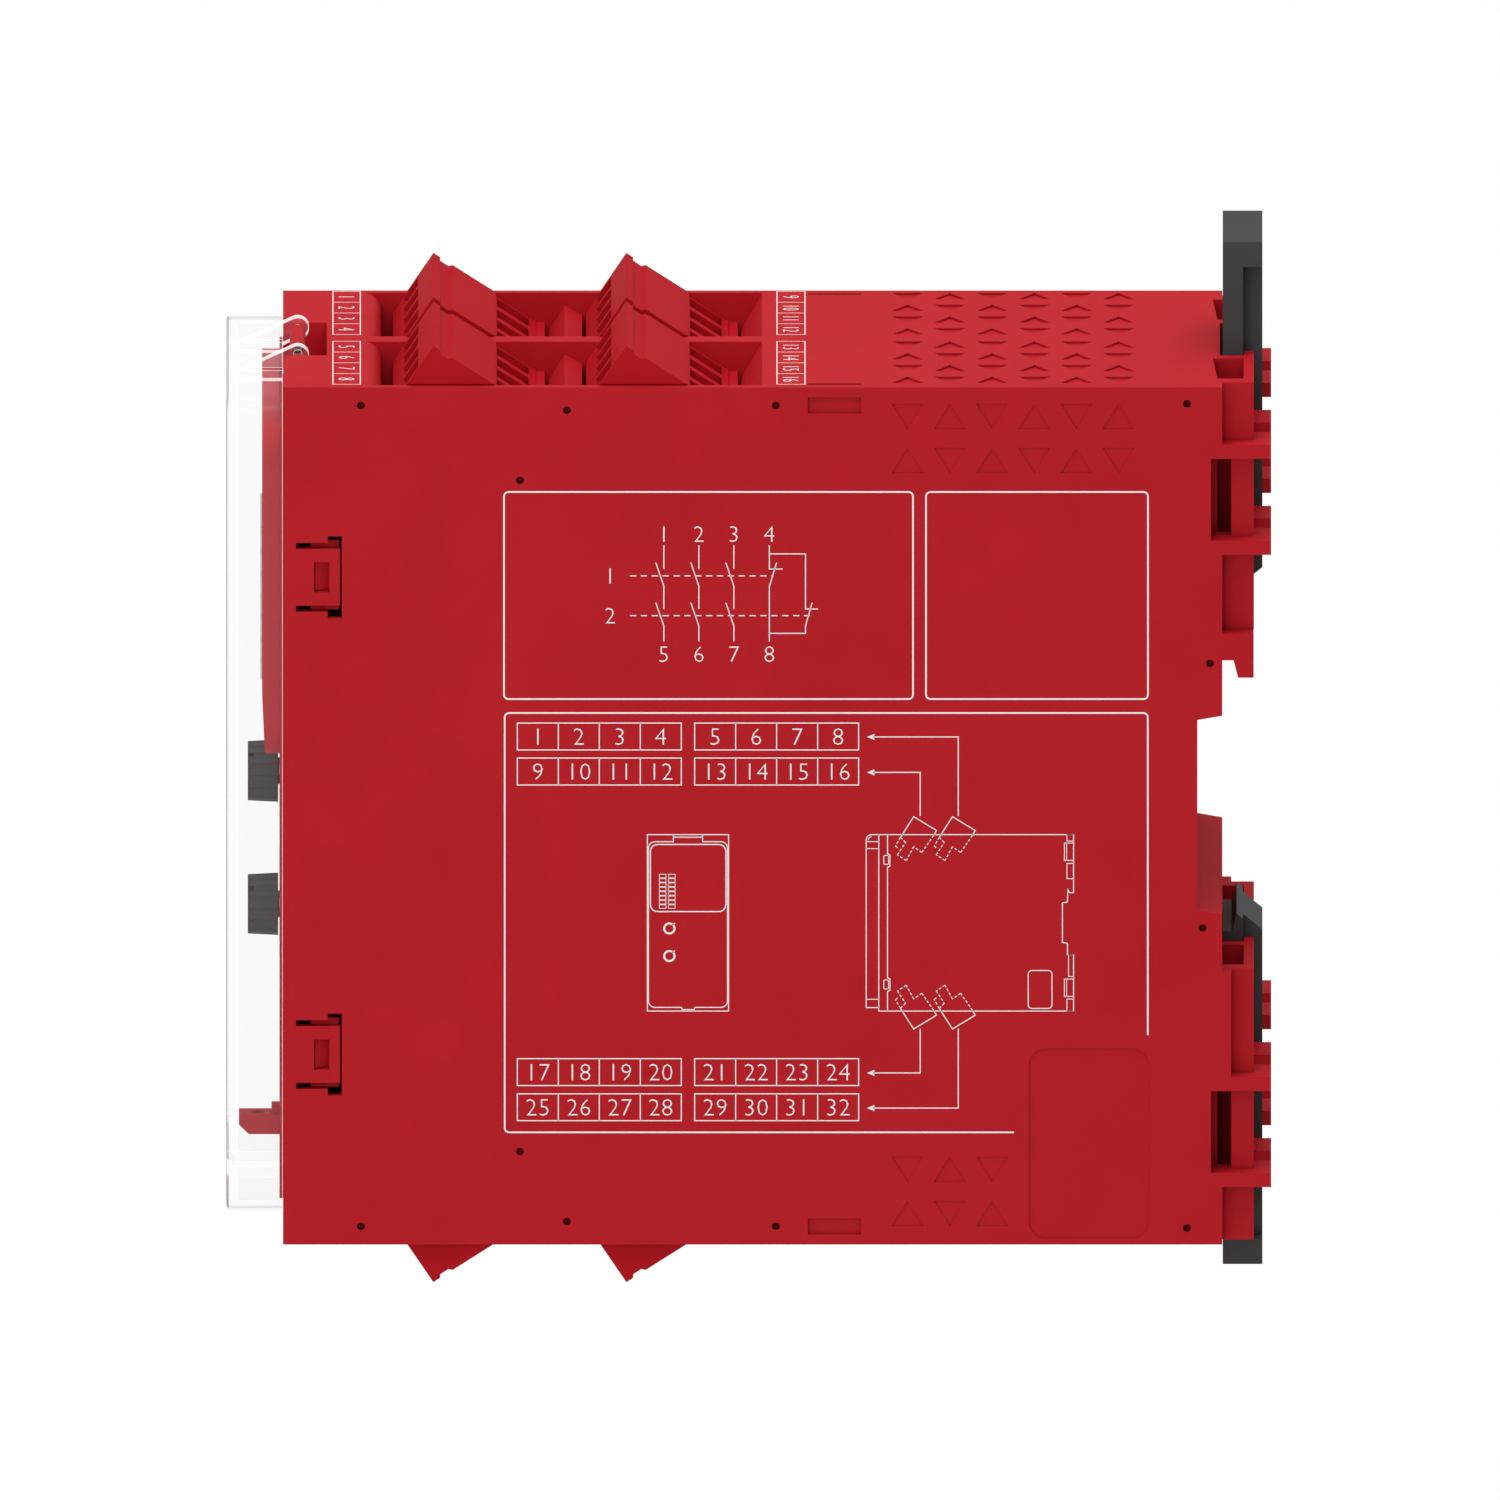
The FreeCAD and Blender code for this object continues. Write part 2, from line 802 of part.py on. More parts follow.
def cut_foot_channels(tub):
    """The two T-shaped foot channels, the hollows beside them and the windows between the ribs."""
    hook_low = rail_top - S.hook_drop
    hook_high = rail_top + S.hook_block
    spans = {
        "lower": (bottom - S.fit_gap, S.lower_guide_top + S.fit_gap, bottom + S.guide_wall),
        "upper": (hook_low - S.fit_gap, top + S.fit_gap, hook_high + S.guide_wall),
    }
    for name, (low, high, hollow_low) in spans.items():
        tub.cut(f"{name}_channel", "XY", low, high,
                box(-channel_half, channel_half, channel_front, lip_front))
        tub.cut(f"{name}_channel_mouth", "XY", low, high,
                box(-lip_half, lip_half, lip_front - S.fit_gap, S.rib_reach + S.fit_gap))
        hollows = []
        for sign in SIDES.values():
            far, near = ordered(sign * S.guide_hollow_at, sign * (S.guide_hollow_at + S.guide_hollow))
            hollows.append(outline(
                (far, S.guide_hollow_front),
                (near, S.guide_hollow_front + S.guide_hollow_slant),
                (near, S.guide_hollow_back),
                (far, S.guide_hollow_back),
            ))
        tub.cut(f"{name}_hollows", "XY", hollow_low, high, *hollows)
    for end in ENDS:
        low, high = ordered(level(end, S.rib_inner_at + S.rib_thick), level(end, S.rib_outer_at))
        inside = side_step - S.guide_wall - S.fit_gap
        tub.cut(f"{end}_windows", "XZ", S.window_front, S.guide_front,
                box(inside, side_step, low, high), box(-side_step, -inside, low, high))
        for name, at in (("inner", S.rib_inner_at), ("outer", S.rib_outer_at)):
            low, high = ordered(level(end, at), level(end, at + S.rib_thick))
            slots = [box(-S.rib_slot_half, S.rib_slot_half, S.guide_back, S.rib_reach + S.fit_gap)]
            for sign in SIDES.values():
                far, near = ordered(sign * S.rib_notch_from, sign * (S.rib_notch_from + S.rib_notch))
                slots.append(box(far, near, S.guide_back, S.rib_reach + S.fit_gap))
            tub.cut(f"{end}_{name}_rib_slots", "XY", low, high, *slots)


def make_hinge_bay(tub):
    """The recess in the top front edge, with the lug that the clear cover turns on."""
    wall = S.shell_wall
    deep = S.hinge_bay_deep
    back = front + S.hinge_bay_back
    panel_room = panel_back + S.fit_gap
    tub.add("hinge_box", "YZ", -S.hinge_bay_half - wall, S.hinge_bay_half + wall,
            box(panel_room, back + wall, top - deep - wall, top - wall / 2))
    tub.cut("hinge_bay", "YZ", -S.hinge_bay_half, S.hinge_bay_half,
            box(front - S.fit_gap, back, top - deep, top + S.fit_gap))
    tub.add("hinge_lug", "YZ", -S.lug_half, S.lug_half, circle(pivot_y, pivot_z, S.lug_radius))
    tub.add("hinge_neck", "YZ", -S.lug_half, S.lug_half, box(
        panel_room, pivot_y + S.lug_radius, top - deep - wall / 2, pivot_z))
    tub.cut("hinge_bore", "YZ", -S.lug_half, S.lug_half,
            circle(pivot_y, pivot_z, S.pivot_pin + S.pivot_bore_gap))


def bus_mouth(gap):
    """The outline of the bus contact block where it reaches into the rear wall, with a gap round it."""
    wide = S.bus_half - S.bus_step + gap
    high = S.bus_high - S.bus_step + gap
    return box(-wide, wide, S.bus_at - high, S.bus_at + high)


def cut_bus_opening(tub):
    """The opening in the rear wall for the bus contact block."""
    tub.cut("bus_opening", "XZ", -S.rear_inner, -S.notch_depth, bus_mouth(S.bus_opening_gap))


def cut_clip_window(wall, end, start, stop):
    """The clip window in a side wall and the slits that free the tongue round it."""
    centre = level(end, S.clip_at)
    window = front + S.clip_window_from
    slit = front + S.slit_from
    notch = front + S.slit_notch_from
    back = front + S.slit_back
    wall.cut(f"{end}_clip_window", "YZ", start, stop, box(
        window, window + S.clip_window, centre - S.clip_window_half, centre + S.clip_window_half))
    wall.cut(f"{end}_clip_slits", "YZ", start, stop, outline(
        (slit, centre + S.slit_high),
        (notch, centre + S.slit_high),
        (notch, centre + S.slit_notch_high),
        (back, centre + S.slit_notch_high),
        (back, centre - S.slit_notch_high),
        (notch, centre - S.slit_notch_high),
        (notch, centre - S.slit_high),
        (slit, centre - S.slit_high),
        (slit, centre - S.slit_low),
        (back - S.slit_thin, centre - S.slit_low),
        (back - S.slit_thin, centre + S.slit_low),
        (slit, centre + S.slit_low),
    ))


def cut_top_vents(tub):
    """Rows of shallow triangles on the top, behind the terminal bays, and the two slim slots."""
    slots = []
    start = front + S.finger_slot_from
    for sign in SIDES.values():
        low, high = ordered(sign * S.slim_slot_at, sign * (S.slim_slot_at + S.slim_slot_wide))
        slots.append(box(low, high, start, start + S.finger_slot_long))
    tub.cut("slim_slots", "XY", top - S.finger_slot_deep, top, *slots)
    for name, across in (("far", -S.vent_row_from), ("near", half - S.vent_row_from)):
        cell = triangle_cell(-S.vent_setback, across, S.vent_row_pitch, 2)
        shapes = [outline(*((x, y) for y, x in corners)) for corners in cell]
        vents = tub.cut(f"{name}_vents", "XY", top - S.vent_deep, top, *shapes)
        tub.grid(f"{name}_vent_rows", vents, "Y", S.vent_pitch * 2, 3, "X", S.vent_row_pitch * 2, 2)


def side_cover():
    """The near side wall, with its peg holes, clip windows and shallow recesses."""
    cover = Piece("side_cover")
    cover.add("side_plate", "YZ", shell_side, half, side_outline())
    for end in ENDS:
        cut_clip_window(cover, end, shell_side, half)
    places = [
        (S.hook_peg_at, rail_top - S.hook_peg_down),
        (S.notch_peg_at, S.notch_low - S.notch_peg_down),
    ]
    for end in ENDS:
        edge = S.housing_height / 2
        places += [
            (S.housing_depth - S.front_peg_at, level(end, edge - S.front_peg_down)),
            (S.housing_depth - S.bay_peg_at, level(end, edge - S.bay_peg_down)),
            (S.housing_depth - S.back_peg_at, level(end, edge - S.front_peg_down)),
            (S.housing_depth - S.inner_peg_at, level(end, edge - S.inner_peg_down)),
            (S.rear_peg_at, level(end, edge - S.rear_peg_down)),
        ]
    pegs = [circle(-at, z, S.peg_radius) for at, z in places]
    cover.cut("peg_holes", "YZ", half - S.peg_deep, half, *pegs)
    slot_end = front + S.finger_slot_from + S.finger_slot_long
    slots = []
    for end in ENDS:
        edge = S.housing_height / 2 - S.finger_slot_down
        low, high = ordered(level(end, edge - S.finger_slot_high), level(end, edge))
        slots.append(box(front + S.finger_slot_from, slot_end, low, high))
    cover.cut("finger_slots", "YZ", half - S.finger_slot_deep, half, *slots)
    cut_relief_triangles(cover)
    cut_tag_field(cover)
    return cover


def cut_relief_triangles(cover):
    """Very shallow triangles on the side: two rows of six near the top, two rows of three near the bottom."""
    floor = half - S.relief_deep
    upper = triangle_cell(-S.vent_setback, top - S.relief_below_top, S.relief_row_pitch, 2)
    relief = cover.cut("upper_relief", "YZ", floor, half, *(outline(*corners) for corners in upper))
    cover.row("upper_relief_columns", relief, "Y", S.vent_pitch * 2, 3)
    lower = triangle_cell(-S.vent_setback, bottom + S.relief_above_bottom, S.relief_row_pitch, 3)
    cover.cut("lower_relief", "YZ", floor, half, *(outline(*corners) for corners in lower))


def cut_tag_field(cover):
    """The shallow field with rounded corners low on the side, for a loose tag."""
    low = bottom + S.tag_low
    back = -S.tag_from
    field = back - S.tag_long
    cover.cut("tag_field", "YZ", half - S.tag_deep, half, box(field, back, low, low + S.tag_high))
    corners = []
    for y in (field, back):
        corners += cover.edges("x", y=y, z=low) + cover.edges("x", y=y, z=low + S.tag_high)
    cover.soften("tag_corners", "Fillet", S.tag_round, corners, grows=1)


def front_panel():
    """The front cap: a plate with a raised face and bezel, clips at its back and a seal tongue."""
    panel = Piece("front_panel")
    gap = S.fit_gap
    rim = S.housing_height / 2 - S.shell_wall - gap
    flange = shell_side - gap
    panel.add("flange", "XZ", front, panel_back, box(-flange, flange, mid - rim, mid + rim))
    margin = S.panel_face_margin
    panel.add("face", "XZ", panel_face, front, box(
        -S.panel_face_half, S.panel_face_half, bottom + margin, top - margin))
    panel.add("bezel", "XZ", bezel_face, panel_face, box(
        -S.bezel_half, S.bezel_half, mid + S.bezel_low, mid + S.bezel_high))
    corners = []
    for x in (-S.bezel_half, S.bezel_half):
        for z in (mid + S.bezel_low, mid + S.bezel_high):
            corners += panel.edges("y", x=x, z=z, y=bezel_face + S.bezel_rise / 2)
    panel.soften("bezel_corners", "Fillet", S.bezel_round, corners)
    corners = []
    for x in (-S.panel_face_half, S.panel_face_half):
        for z in (bottom + margin, top - margin):
            corners += panel.edges("y", x=x, z=z, y=(panel_face + front) / 2)
    panel.soften("face_corners", "Fillet", S.cover_round - S.cover_wall, corners)
    slope_top = mid + S.bezel_low + S.bezel_slope
    panel.cut("bezel_slope", "YZ", -S.bezel_half, S.bezel_half, outline(
        (bezel_face - S.fit_gap, slope_top), (bezel_face, slope_top),
        (bezel_face + S.bezel_slope_deep, mid + S.bezel_low), (bezel_face - S.fit_gap, mid + S.bezel_low)))
    hinge = S.hinge_bay_half + S.shell_wall
    panel.cut("hinge_gap", "XZ", panel_face, panel_back, box(
        -hinge, hinge, top - S.hinge_bay_deep - S.shell_wall - gap, top))
    lenses = []
    wide = S.lens_wide / 2
    tall = S.lens_high / 2
    for x in (S.lens_left, S.lens_right):
        for number in range(LENSES):
            z = mid + S.lens_low + number * S.lens_pitch
            lenses.append(box(x - wide, x + wide, z - tall, z + tall))
    panel.cut("lens_windows", "XZ", bezel_face, panel_back, *lenses)
    inset = S.label_margin
    panel.cut("label_field", "XZ", bezel_face, bezel_face + S.label_inset, box(
        S.label_from, S.bezel_half - inset, mid + S.bezel_low + inset, mid + S.bezel_high - inset))
    holes = [circle(S.knob_x, z, S.shaft_radius + S.shaft_room) for z in (S.mode_knob_z, S.start_knob_z)]
    panel.cut("shaft_holes", "XZ", panel_face, panel_back, *holes)
    window = front + S.clip_window_from
    for end in ENDS:
        centre = level(end, S.clip_at)
        for side, sign in SIDES.items():
            low, high = ordered(sign * (flange - S.clip_thick), sign * flange)
            panel.add(f"{end}_{side}_clip", "XY", centre - S.clip_half, centre + S.clip_half,
                      box(low, high, panel_back, front + S.clip_reach))
            panel.add(f"{end}_{side}_clip_head", "XY", centre - S.clip_head_half, centre + S.clip_head_half,
                      box(low, high, front + S.clip_head_from, front + S.clip_reach))
            nib = S.clip_window_half - gap
            wall = sign * flange
            tip = sign * (flange + S.clip_nib)
            panel.add(f"{end}_{side}_nib", "XY", centre - nib, centre + nib, outline(
                (wall, window + gap), (tip, window + gap), (wall, window + S.clip_window - gap)))
    tongue_tip = panel_face - S.tongue_reach
    low = S.tongue_low - S.rail_offset
    panel.add("seal_tongue", "YZ", -S.tongue_half, S.tongue_half, outline(
        (panel_face, low), (panel_face, low + S.tongue_thick), (tongue_tip, low + S.tongue_thick),
        (tongue_tip, low + S.tongue_thick / 2), (tongue_tip + S.tongue_thick / 2, low)))
    shoulder = low + S.tongue_thick
    panel.add("tongue_root", "YZ", -S.tongue_half / 2, S.tongue_half / 2, box(
        panel_face - S.tongue_root_deep, panel_face, shoulder, shoulder + S.tongue_root_high))
    panel.cut("seal_eye", "XY", low, low + S.tongue_thick,
              circle(0, tongue_tip + S.tongue_thick, S.tongue_eye))
    return panel


def clear_cover():
    """The clear cover: a shallow rounded tray with two hinge arms and their stub pins."""
    cover = Piece("clear_cover")
    face = front - S.cover_front
    rim = front - S.cover_rim_gap
    low = mid + S.cover_low
    high = mid + S.cover_high
    wall = S.cover_wall
    cover.add("tray", "XZ", face, rim, box(-S.cover_half, S.cover_half, low, high))
    corners = []
    for x in (-S.cover_half, S.cover_half):
        corners += cover.edges("y", x=x, z=low) + cover.edges("y", x=x, z=high)
    cover.soften("tray_corners", "Fillet", S.cover_round, corners)
    cover.soften("tray_edge", "Fillet", S.cover_edge, cover.edges("x", y=face, z=high))
    inner = S.cover_half - wall
    cover.cut("tray_room", "XZ", face + wall, rim, box(-inner, inner, low + wall, high - wall))
    corners = []
    for x in (-inner, inner):
        corners += cover.edges("y", x=x, z=low + wall) + cover.edges("y", x=x, z=high - wall)
    cover.soften("room_corners", "Fillet", S.cover_round - wall, corners, grows=1)
    root_y = face + wall / 2
    root_z = high - wall / 2
    meet = S.arm_radius * ARM_MEET
    crown = pivot_z + S.arm_radius * ARM_CROWN
    heel = pivot_z - S.arm_radius * ARM_HEEL
    for side, sign in SIDES.items():
        start, end = ordered(sign * S.arm_inner, sign * (S.arm_inner + S.arm_thick))
        cover.add(f"{side}_arm", "YZ", start, end, outline(
            (root_y, root_z),
            (root_y, root_z + S.arm_shoulder),
            (pivot_y - meet, crown),
            (pivot_y, pivot_z),
            (pivot_y - meet / 2, heel),
            (rim - meet, root_z)))
        cover.add(f"{side}_eye", "YZ", start, end, circle(pivot_y, pivot_z, S.arm_radius))
        pin_start, pin_end = ordered(sign * (S.arm_inner - S.pivot_pin_long), sign * S.arm_inner)
        cover.add(f"{side}_pin", "YZ", pin_start, pin_end, circle(pivot_y, pivot_z, S.pivot_pin))
    notch = S.cover_notch_half
    cover.cut("tongue_notch", "XZ", face, rim, box(-notch, notch, low, low + S.cover_notch_high))
    return cover


def light_guide(label, x):
    """A column of eight lenses on a common bar."""
    guide = Piece(label)
    gap = S.lens_gap
    bar_back = panel_back + S.guide_bar
    bar_half = S.lens_wide / 2
    low = mid + S.lens_low - S.lens_high / 2
    high = mid + S.lens_low + S.lens_pitch * (LENSES - 1) + S.lens_high / 2
    guide.add("bar", "XZ", panel_back, bar_back, box(x - bar_half, x + bar_half, low, high))
    width = S.lens_wide / 2 - gap
    height = S.lens_high / 2 - gap
    first = mid + S.lens_low
    lens = guide.add("lens", "XZ", bezel_face - S.lens_proud, panel_back,
                     box(x - width, x + width, first - height, first + height))
    guide.row("lenses", lens, "Z", S.lens_pitch, LENSES, grows=1)
    pegs = [circle(x, z, S.guide_peg) for z in (low + S.guide_peg_in, high - S.guide_peg_in)]
    guide.add("pegs", "XZ", bar_back, board_face, *pegs)
    return guide


def knob(label, z):
    """A fluted selector with a screwdriver slot, a pointer notch and its shaft."""
    piece = Piece(label)
    height = S.knob_height
    piece.add("shaft", "XZ", 0, S.shaft_long + S.knob_gap, circle(0, 0, S.shaft_radius))
    head = piece.add("head", "XZ", -height, 0, circle(0, 0, S.knob_radius))
    head.setExpression("TaperAngle", (-S.knob_taper).text)
    flute = piece.cut("flute", "XZ", -height + S.flute_short, 0,
                      circle(S.knob_radius + S.flute_out, 0, S.flute_radius))
    piece.ring("flutes", flute, "Y", FLUTES)
    wide = S.driver_slot / 2
    reach = S.driver_slot_long / 2
    piece.cut("driver_slot", "XZ", -height, -height + S.driver_slot_deep, box(-reach, reach, -wide, wide))
    near = S.pointer_from
    far = S.pointer_to
    tip = S.pointer_tip
    piece.cut("pointer", "XZ", -height, -height + S.pointer_deep, outline(
        (near, near + S.pointer_wide), (near + S.pointer_wide, near),
        (far + tip, far - tip), (far - tip, far + tip)))
    piece.place(S.knob_x, panel_face - S.knob_gap, z)
    return piece


def selector_switch(label, z):
    """The coded switch behind a selector, standing on the front board."""
    switch = Piece(label)
    side = S.switch_half
    switch.add("case", "XZ", panel_back + S.fit_gap, board_face, box(
        S.knob_x - side, S.knob_x + side, z - side, z + side))
    names = []
    for x in (S.knob_x - side, S.knob_x + side):
        names += switch.edges("y", x=x, z=z - side) + switch.edges("y", x=x, z=z + side)
    switch.soften("case_corners", "Chamfer", S.switch_corner, names)
    switch.cut("bore", "XZ", panel_back + S.fit_gap, front + S.shaft_long + S.fit_gap,
               circle(S.knob_x, z, S.shaft_radius + S.shaft_gap))
    return switch


def terminal_plug(label, side, row, end):
    """A four-pole plug-in block: slanted wire face, hood with a grip groove, test slots, keyed foot."""
    plug = Piece(label)
    width = (shell_side - bay_half_wall) / 2 - S.plug_gap
    slope = S.hood_slope
    groove = S.grip_groove_at
    groove_end = groove + S.grip_groove
    slots_end = S.hood_length + S.slot_zone
    key_top = S.plug_height - S.key_height
    hood_half = width + S.hood_overhang
    hood_low = S.plug_rise - S.hood_clearance
    plug.add("hood_ends", "YZ", -hood_half, hood_half, outline(
        (0, 0),
        (-S.wire_face_run * hood_low / S.wire_face_drop, -hood_low),
        (hood_low / slope, -hood_low),
        (groove_end, -slope * groove_end),
        (groove_end - S.grip_groove_lip, -slope * groove_end - S.grip_groove_rise),
        (groove, -slope * groove - S.grip_groove_deep),
        (groove, -slope * groove),
    ))
    plug.add("block", "YZ", -width, width, outline(
        (0, 0),
        (-S.wire_face_run, -S.wire_face_drop),
        (-S.wire_face_run, -key_top),
        (-S.wire_face_run + S.key_front, -key_top),
        (-S.wire_face_run + S.key_front, -S.plug_height),
        (S.heel_length - S.key_back, -S.plug_height),
        (S.heel_length - S.key_back, -key_top),
        (S.heel_length, -key_top),
        (S.heel_length, -S.heel_drop),
        (slots_end + S.hood_back * 2, -S.heel_drop),
        (slots_end + S.hood_back, -slope * slots_end - S.hood_step),
        (slots_end, -slope * slots_end - S.hood_step),
        (S.hood_length, -slope * S.hood_length - S.hood_step),
        (S.hood_length, -slope * S.hood_length),
        (groove_end, -slope * groove_end),
        (groove_end - S.grip_groove_lip, -slope * groove_end - S.grip_groove_rise),
        (groove, -slope * groove - S.grip_groove_deep),
        (groove, -slope * groove),
    ))
    face = root(S.wire_face_run * S.wire_face_run + S.wire_face_drop * S.wire_face_drop)
    down_u = -S.wire_face_run / face
    down_v = -S.wire_face_drop / face
    first = S.wire_hole_from
    last = first + S.wire_hole_long
    deep = S.wire_hole_deep
    pole = -row_span / 2
    wide = S.wire_hole_wide / 2
    out = S.cut_proud
    hole = plug.cut("wire_hole", "YZ", pole - wide, pole + wide, outline(
        (down_u * first + down_v * out, down_v * first - down_u * out),
        (down_u * last + down_v * out, down_v * last - down_u * out),
        (down_u * last - down_v * deep, down_v * last + down_u * deep),
        (down_u * first - down_v * deep, down_v * first + down_u * deep),
    ))
    plug.row("wire_holes", hole, "X", S.pole_pitch, POLES)
    test = S.test_slot_wide / 2
    start = S.hood_length + S.fit_gap
    stop = slots_end - S.test_slot_edge
    slot = plug.cut("test_slot", "YZ", pole - test, pole + test, outline(
        (start, -slope * start + S.cut_proud * 2),
        (start, -slope * start - S.hood_step - S.test_slot_deep),
        (stop, -slope * stop - S.hood_step - S.test_slot_shallow),
        (stop, -slope * stop + S.cut_proud * 2)))
    plug.row("test_slots", slot, "X", S.pole_pitch, POLES)
    cage = S.cage_wide / 2 + S.cage_gap
    room = plug.cut("cage_room", "YZ", pole - cage, pole + cage, box(
        S.cage_front - S.cage_gap, S.cage_back + S.cage_gap, -S.plug_height, -S.cage_top + S.cage_gap))
    plug.row("cage_rooms", room, "X", S.pole_pitch, POLES)
    place_in_bay(plug, side, row, end)
    return plug


def place_in_bay(piece, side, row, end):
    """Sets a piece drawn about a plug's ridge into its bay."""
    x = SIDES[side] * bay_center
    y = bay_front + S.plug_setback + ROWS.index(row) * S.row_pitch
    z = level(end, S.housing_height / 2 + S.plug_rise)
    piece.place(x, y, z, turned=end == "bottom")


def plug_clamps(label, side, row, end):
    """The four metal clamps of a plug: each a folded strip that grips the wire and the pin."""
    clamps = Piece(label)
    sheet_thick = S.cage_sheet
    front_u = S.cage_front
    back_u = S.cage_back
    spring = S.pin_at + S.pin_side / 2
    pole = -row_span / 2
    strip = clamps.add("clamp", "YZ", pole - S.cage_wide / 2, pole + S.cage_wide / 2, outline(
        (back_u, -S.cage_foot),
        (back_u, -S.cage_top),
        (front_u, -S.cage_top),
        (front_u, -S.cage_top - S.cage_lip),
        (front_u + sheet_thick, -S.cage_top - S.cage_lip),
        (front_u + sheet_thick, -S.cage_top - sheet_thick),
        (back_u - sheet_thick, -S.cage_top - sheet_thick),
        (back_u - sheet_thick, -S.cage_foot + sheet_thick),
        (spring + sheet_thick, -S.cage_foot + sheet_thick),
        (spring + sheet_thick, -S.cage_top - S.cage_spring),
        (spring, -S.cage_top - S.cage_spring),
        (spring, -S.cage_foot),
    ))
    clamps.row("clamps", strip, "X", S.pole_pitch, POLES, grows=1)
    place_in_bay(clamps, side, row, end)
    return clamps


def pin_header(label, side, end):
    """The plastic header strip on a bay's floor, with lips that guide both plugs."""
    header = Piece(label)
    floor = S.housing_height / 2 - S.bay_depth
    seat = S.housing_height / 2 + S.plug_rise - S.plug_height
    sign = SIDES[side]
    low_x, high_x = ordered(sign * (bay_half_wall + S.plug_gap), sign * (shell_side - S.plug_gap))
    low, high = ordered(level(end, floor), level(end, seat))
    lip_low, lip_high = ordered(level(end, floor), level(end, seat + S.header_lip_rise))
    pins = []
    for row in range(len(ROWS)):
        peak = bay_front + S.plug_setback + row * S.row_pitch
        heel = peak + S.heel_length
        toe = peak - S.wire_face_run
        lip = heel - S.key_back + S.fit_gap * 2
        header.add(f"{ROWS[row]}_base", "XY", low, high, box(
            low_x, high_x, toe + S.fit_gap, heel - S.fit_gap))
        header.add(f"{ROWS[row]}_lip", "XY", lip_low, lip_high, box(
            low_x, high_x, lip, lip + S.header_lip))
        for pole in range(POLES):
            x = sign * bay_center + (pole - (POLES - 1) / 2) * S.pole_pitch
            side_half = S.pin_side / 2
            y = pin_place(row)
            pins.append(box(x - side_half, x + side_half, y - side_half, y + side_half))
    header.cut("pin_holes", "XY", low, high, *pins)
    return header


def header_pins(label, side, end):
    """Eight angled pins: up into the plugs and down to the side board, nested inside each other."""
    pins = Piece(label)
    seat = S.housing_height / 2 + S.plug_rise - S.plug_height
    under = S.housing_height / 2 - S.bay_depth - S.bay_floor
    sign = SIDES[side]
    thick = S.pin_side
    board = sign * S.side_board_at
    for row in range(len(ROWS)):
        shapes = []
        for pole in range(POLES):
            x = sign * (bay_center - row_span / 2 + pole * S.pole_pitch)
            foot = under - S.pin_tail - (POLES - 1 - pole) * S.pin_step
            inner = x - sign * (thick / 2)
            outer = x + sign * (thick / 2)
            tip = level(end, seat + S.pin_up)
            if pole == POLES - 1:
                shapes.append(outline(
                    (inner, tip), (outer, tip), (outer, level(end, foot)), (inner, level(end, foot))))
                continue
            sole = level(end, foot - thick)
            shapes.append(outline(
                (inner, tip), (outer, tip), (outer, level(end, foot)),
                (board, level(end, foot)), (board, sole), (inner, sole)))
        y = pin_place(row)
        pins.add(f"{ROWS[row]}_pins", "XZ", y - thick / 2, y + thick / 2, *shapes)
    return pins


def foot(label, upper):
    """A sliding foot: T section with an end lug, a hooked tip and a fixing hole."""
    piece = Piece(label)
    near = S.foot_gap
    step = S.foot_step
    back = S.foot_back
    tip = S.foot_length
    ledge = S.foot_ledge_at
    piece.add("rib", "YZ", -S.foot_rib_half, S.foot_rib_half, outline(
        (near, 0), (back, 0), (back, tip - S.foot_slope_drop), (S.foot_tip, tip),
        (near + S.foot_ledge, ledge), (near, ledge)))
    cheek_top = tip - S.foot_slope_drop * CHEEK_DROP
    piece.add("plate", "YZ", -S.foot_half, S.foot_half, outline(
        (near, 0), (step, 0), (step, cheek_top), (S.foot_tip, tip),
        (near + S.foot_ledge, ledge), (near, ledge)))
    piece.add("lug", "YZ", -S.foot_half, S.foot_half, box(near, back, 0, S.foot_lug))
    piece.cut("fixing_hole", "XZ", near, back, circle(0, S.foot_hole_at, S.foot_hole_radius))
    if upper:
        piece.place(0, 0, rail_top + ledge + S.foot_travel, turned=True)
    else:
        piece.place(0, 0, rail_low - ledge)
    return piece


def side_board(label, sign):
    """A circuit board standing along a side wall."""
    board = Piece(label)
    low, high = ordered(sign * S.side_board_at, sign * (S.side_board_at + S.board_thick))
    reach = S.side_board_half
    board.add("board", "YZ", low, high, outline(
        (board_back + S.board_gap, mid - reach),
        (-S.rear_inner - S.board_corner, mid - reach),
        (-S.rear_inner, mid - reach + S.board_corner),
        (-S.rear_inner, mid + reach - S.board_corner),
        (-S.rear_inner - S.board_corner, mid + reach),
        (board_back + S.board_gap, mid + reach)))
    return board


def front_board():
    """The board behind the front panel that carries the indicators and switches."""
    board = Piece("front_board")
    wide = S.front_board_half
    high = S.front_board_high
    board.add("board", "XZ", board_face, board_back, box(-wide, wide, mid - high, mid + high))
    board.cut("corner", "XZ", board_face, board_back, box(
        wide - S.front_board_notch, wide, mid + high - S.front_board_notch_high, mid + high))
    return board


def board_connector(label, sign):
    """The plug connection between the front board and a side board."""
    block = Piece(label)
    low, high = ordered(sign * (S.side_board_at - S.joint_block_thick), sign * S.side_board_at)
    end = S.joint_block_half
    block.add("block", "YZ", low, high, box(
        board_back, board_back + S.joint_block_deep, mid - end, mid + end))
    first = mid - end + S.joint_slot_edge
    start = board_back + S.joint_slot_from
    slot = block.cut("contact_slot", "YZ", low, high, box(
        start, start + S.joint_slot_long, first, first + S.joint_slot_high))
    block.row("contact_slots", slot, "Z", S.joint_pitch, JOINT_CONTACTS)
    return block


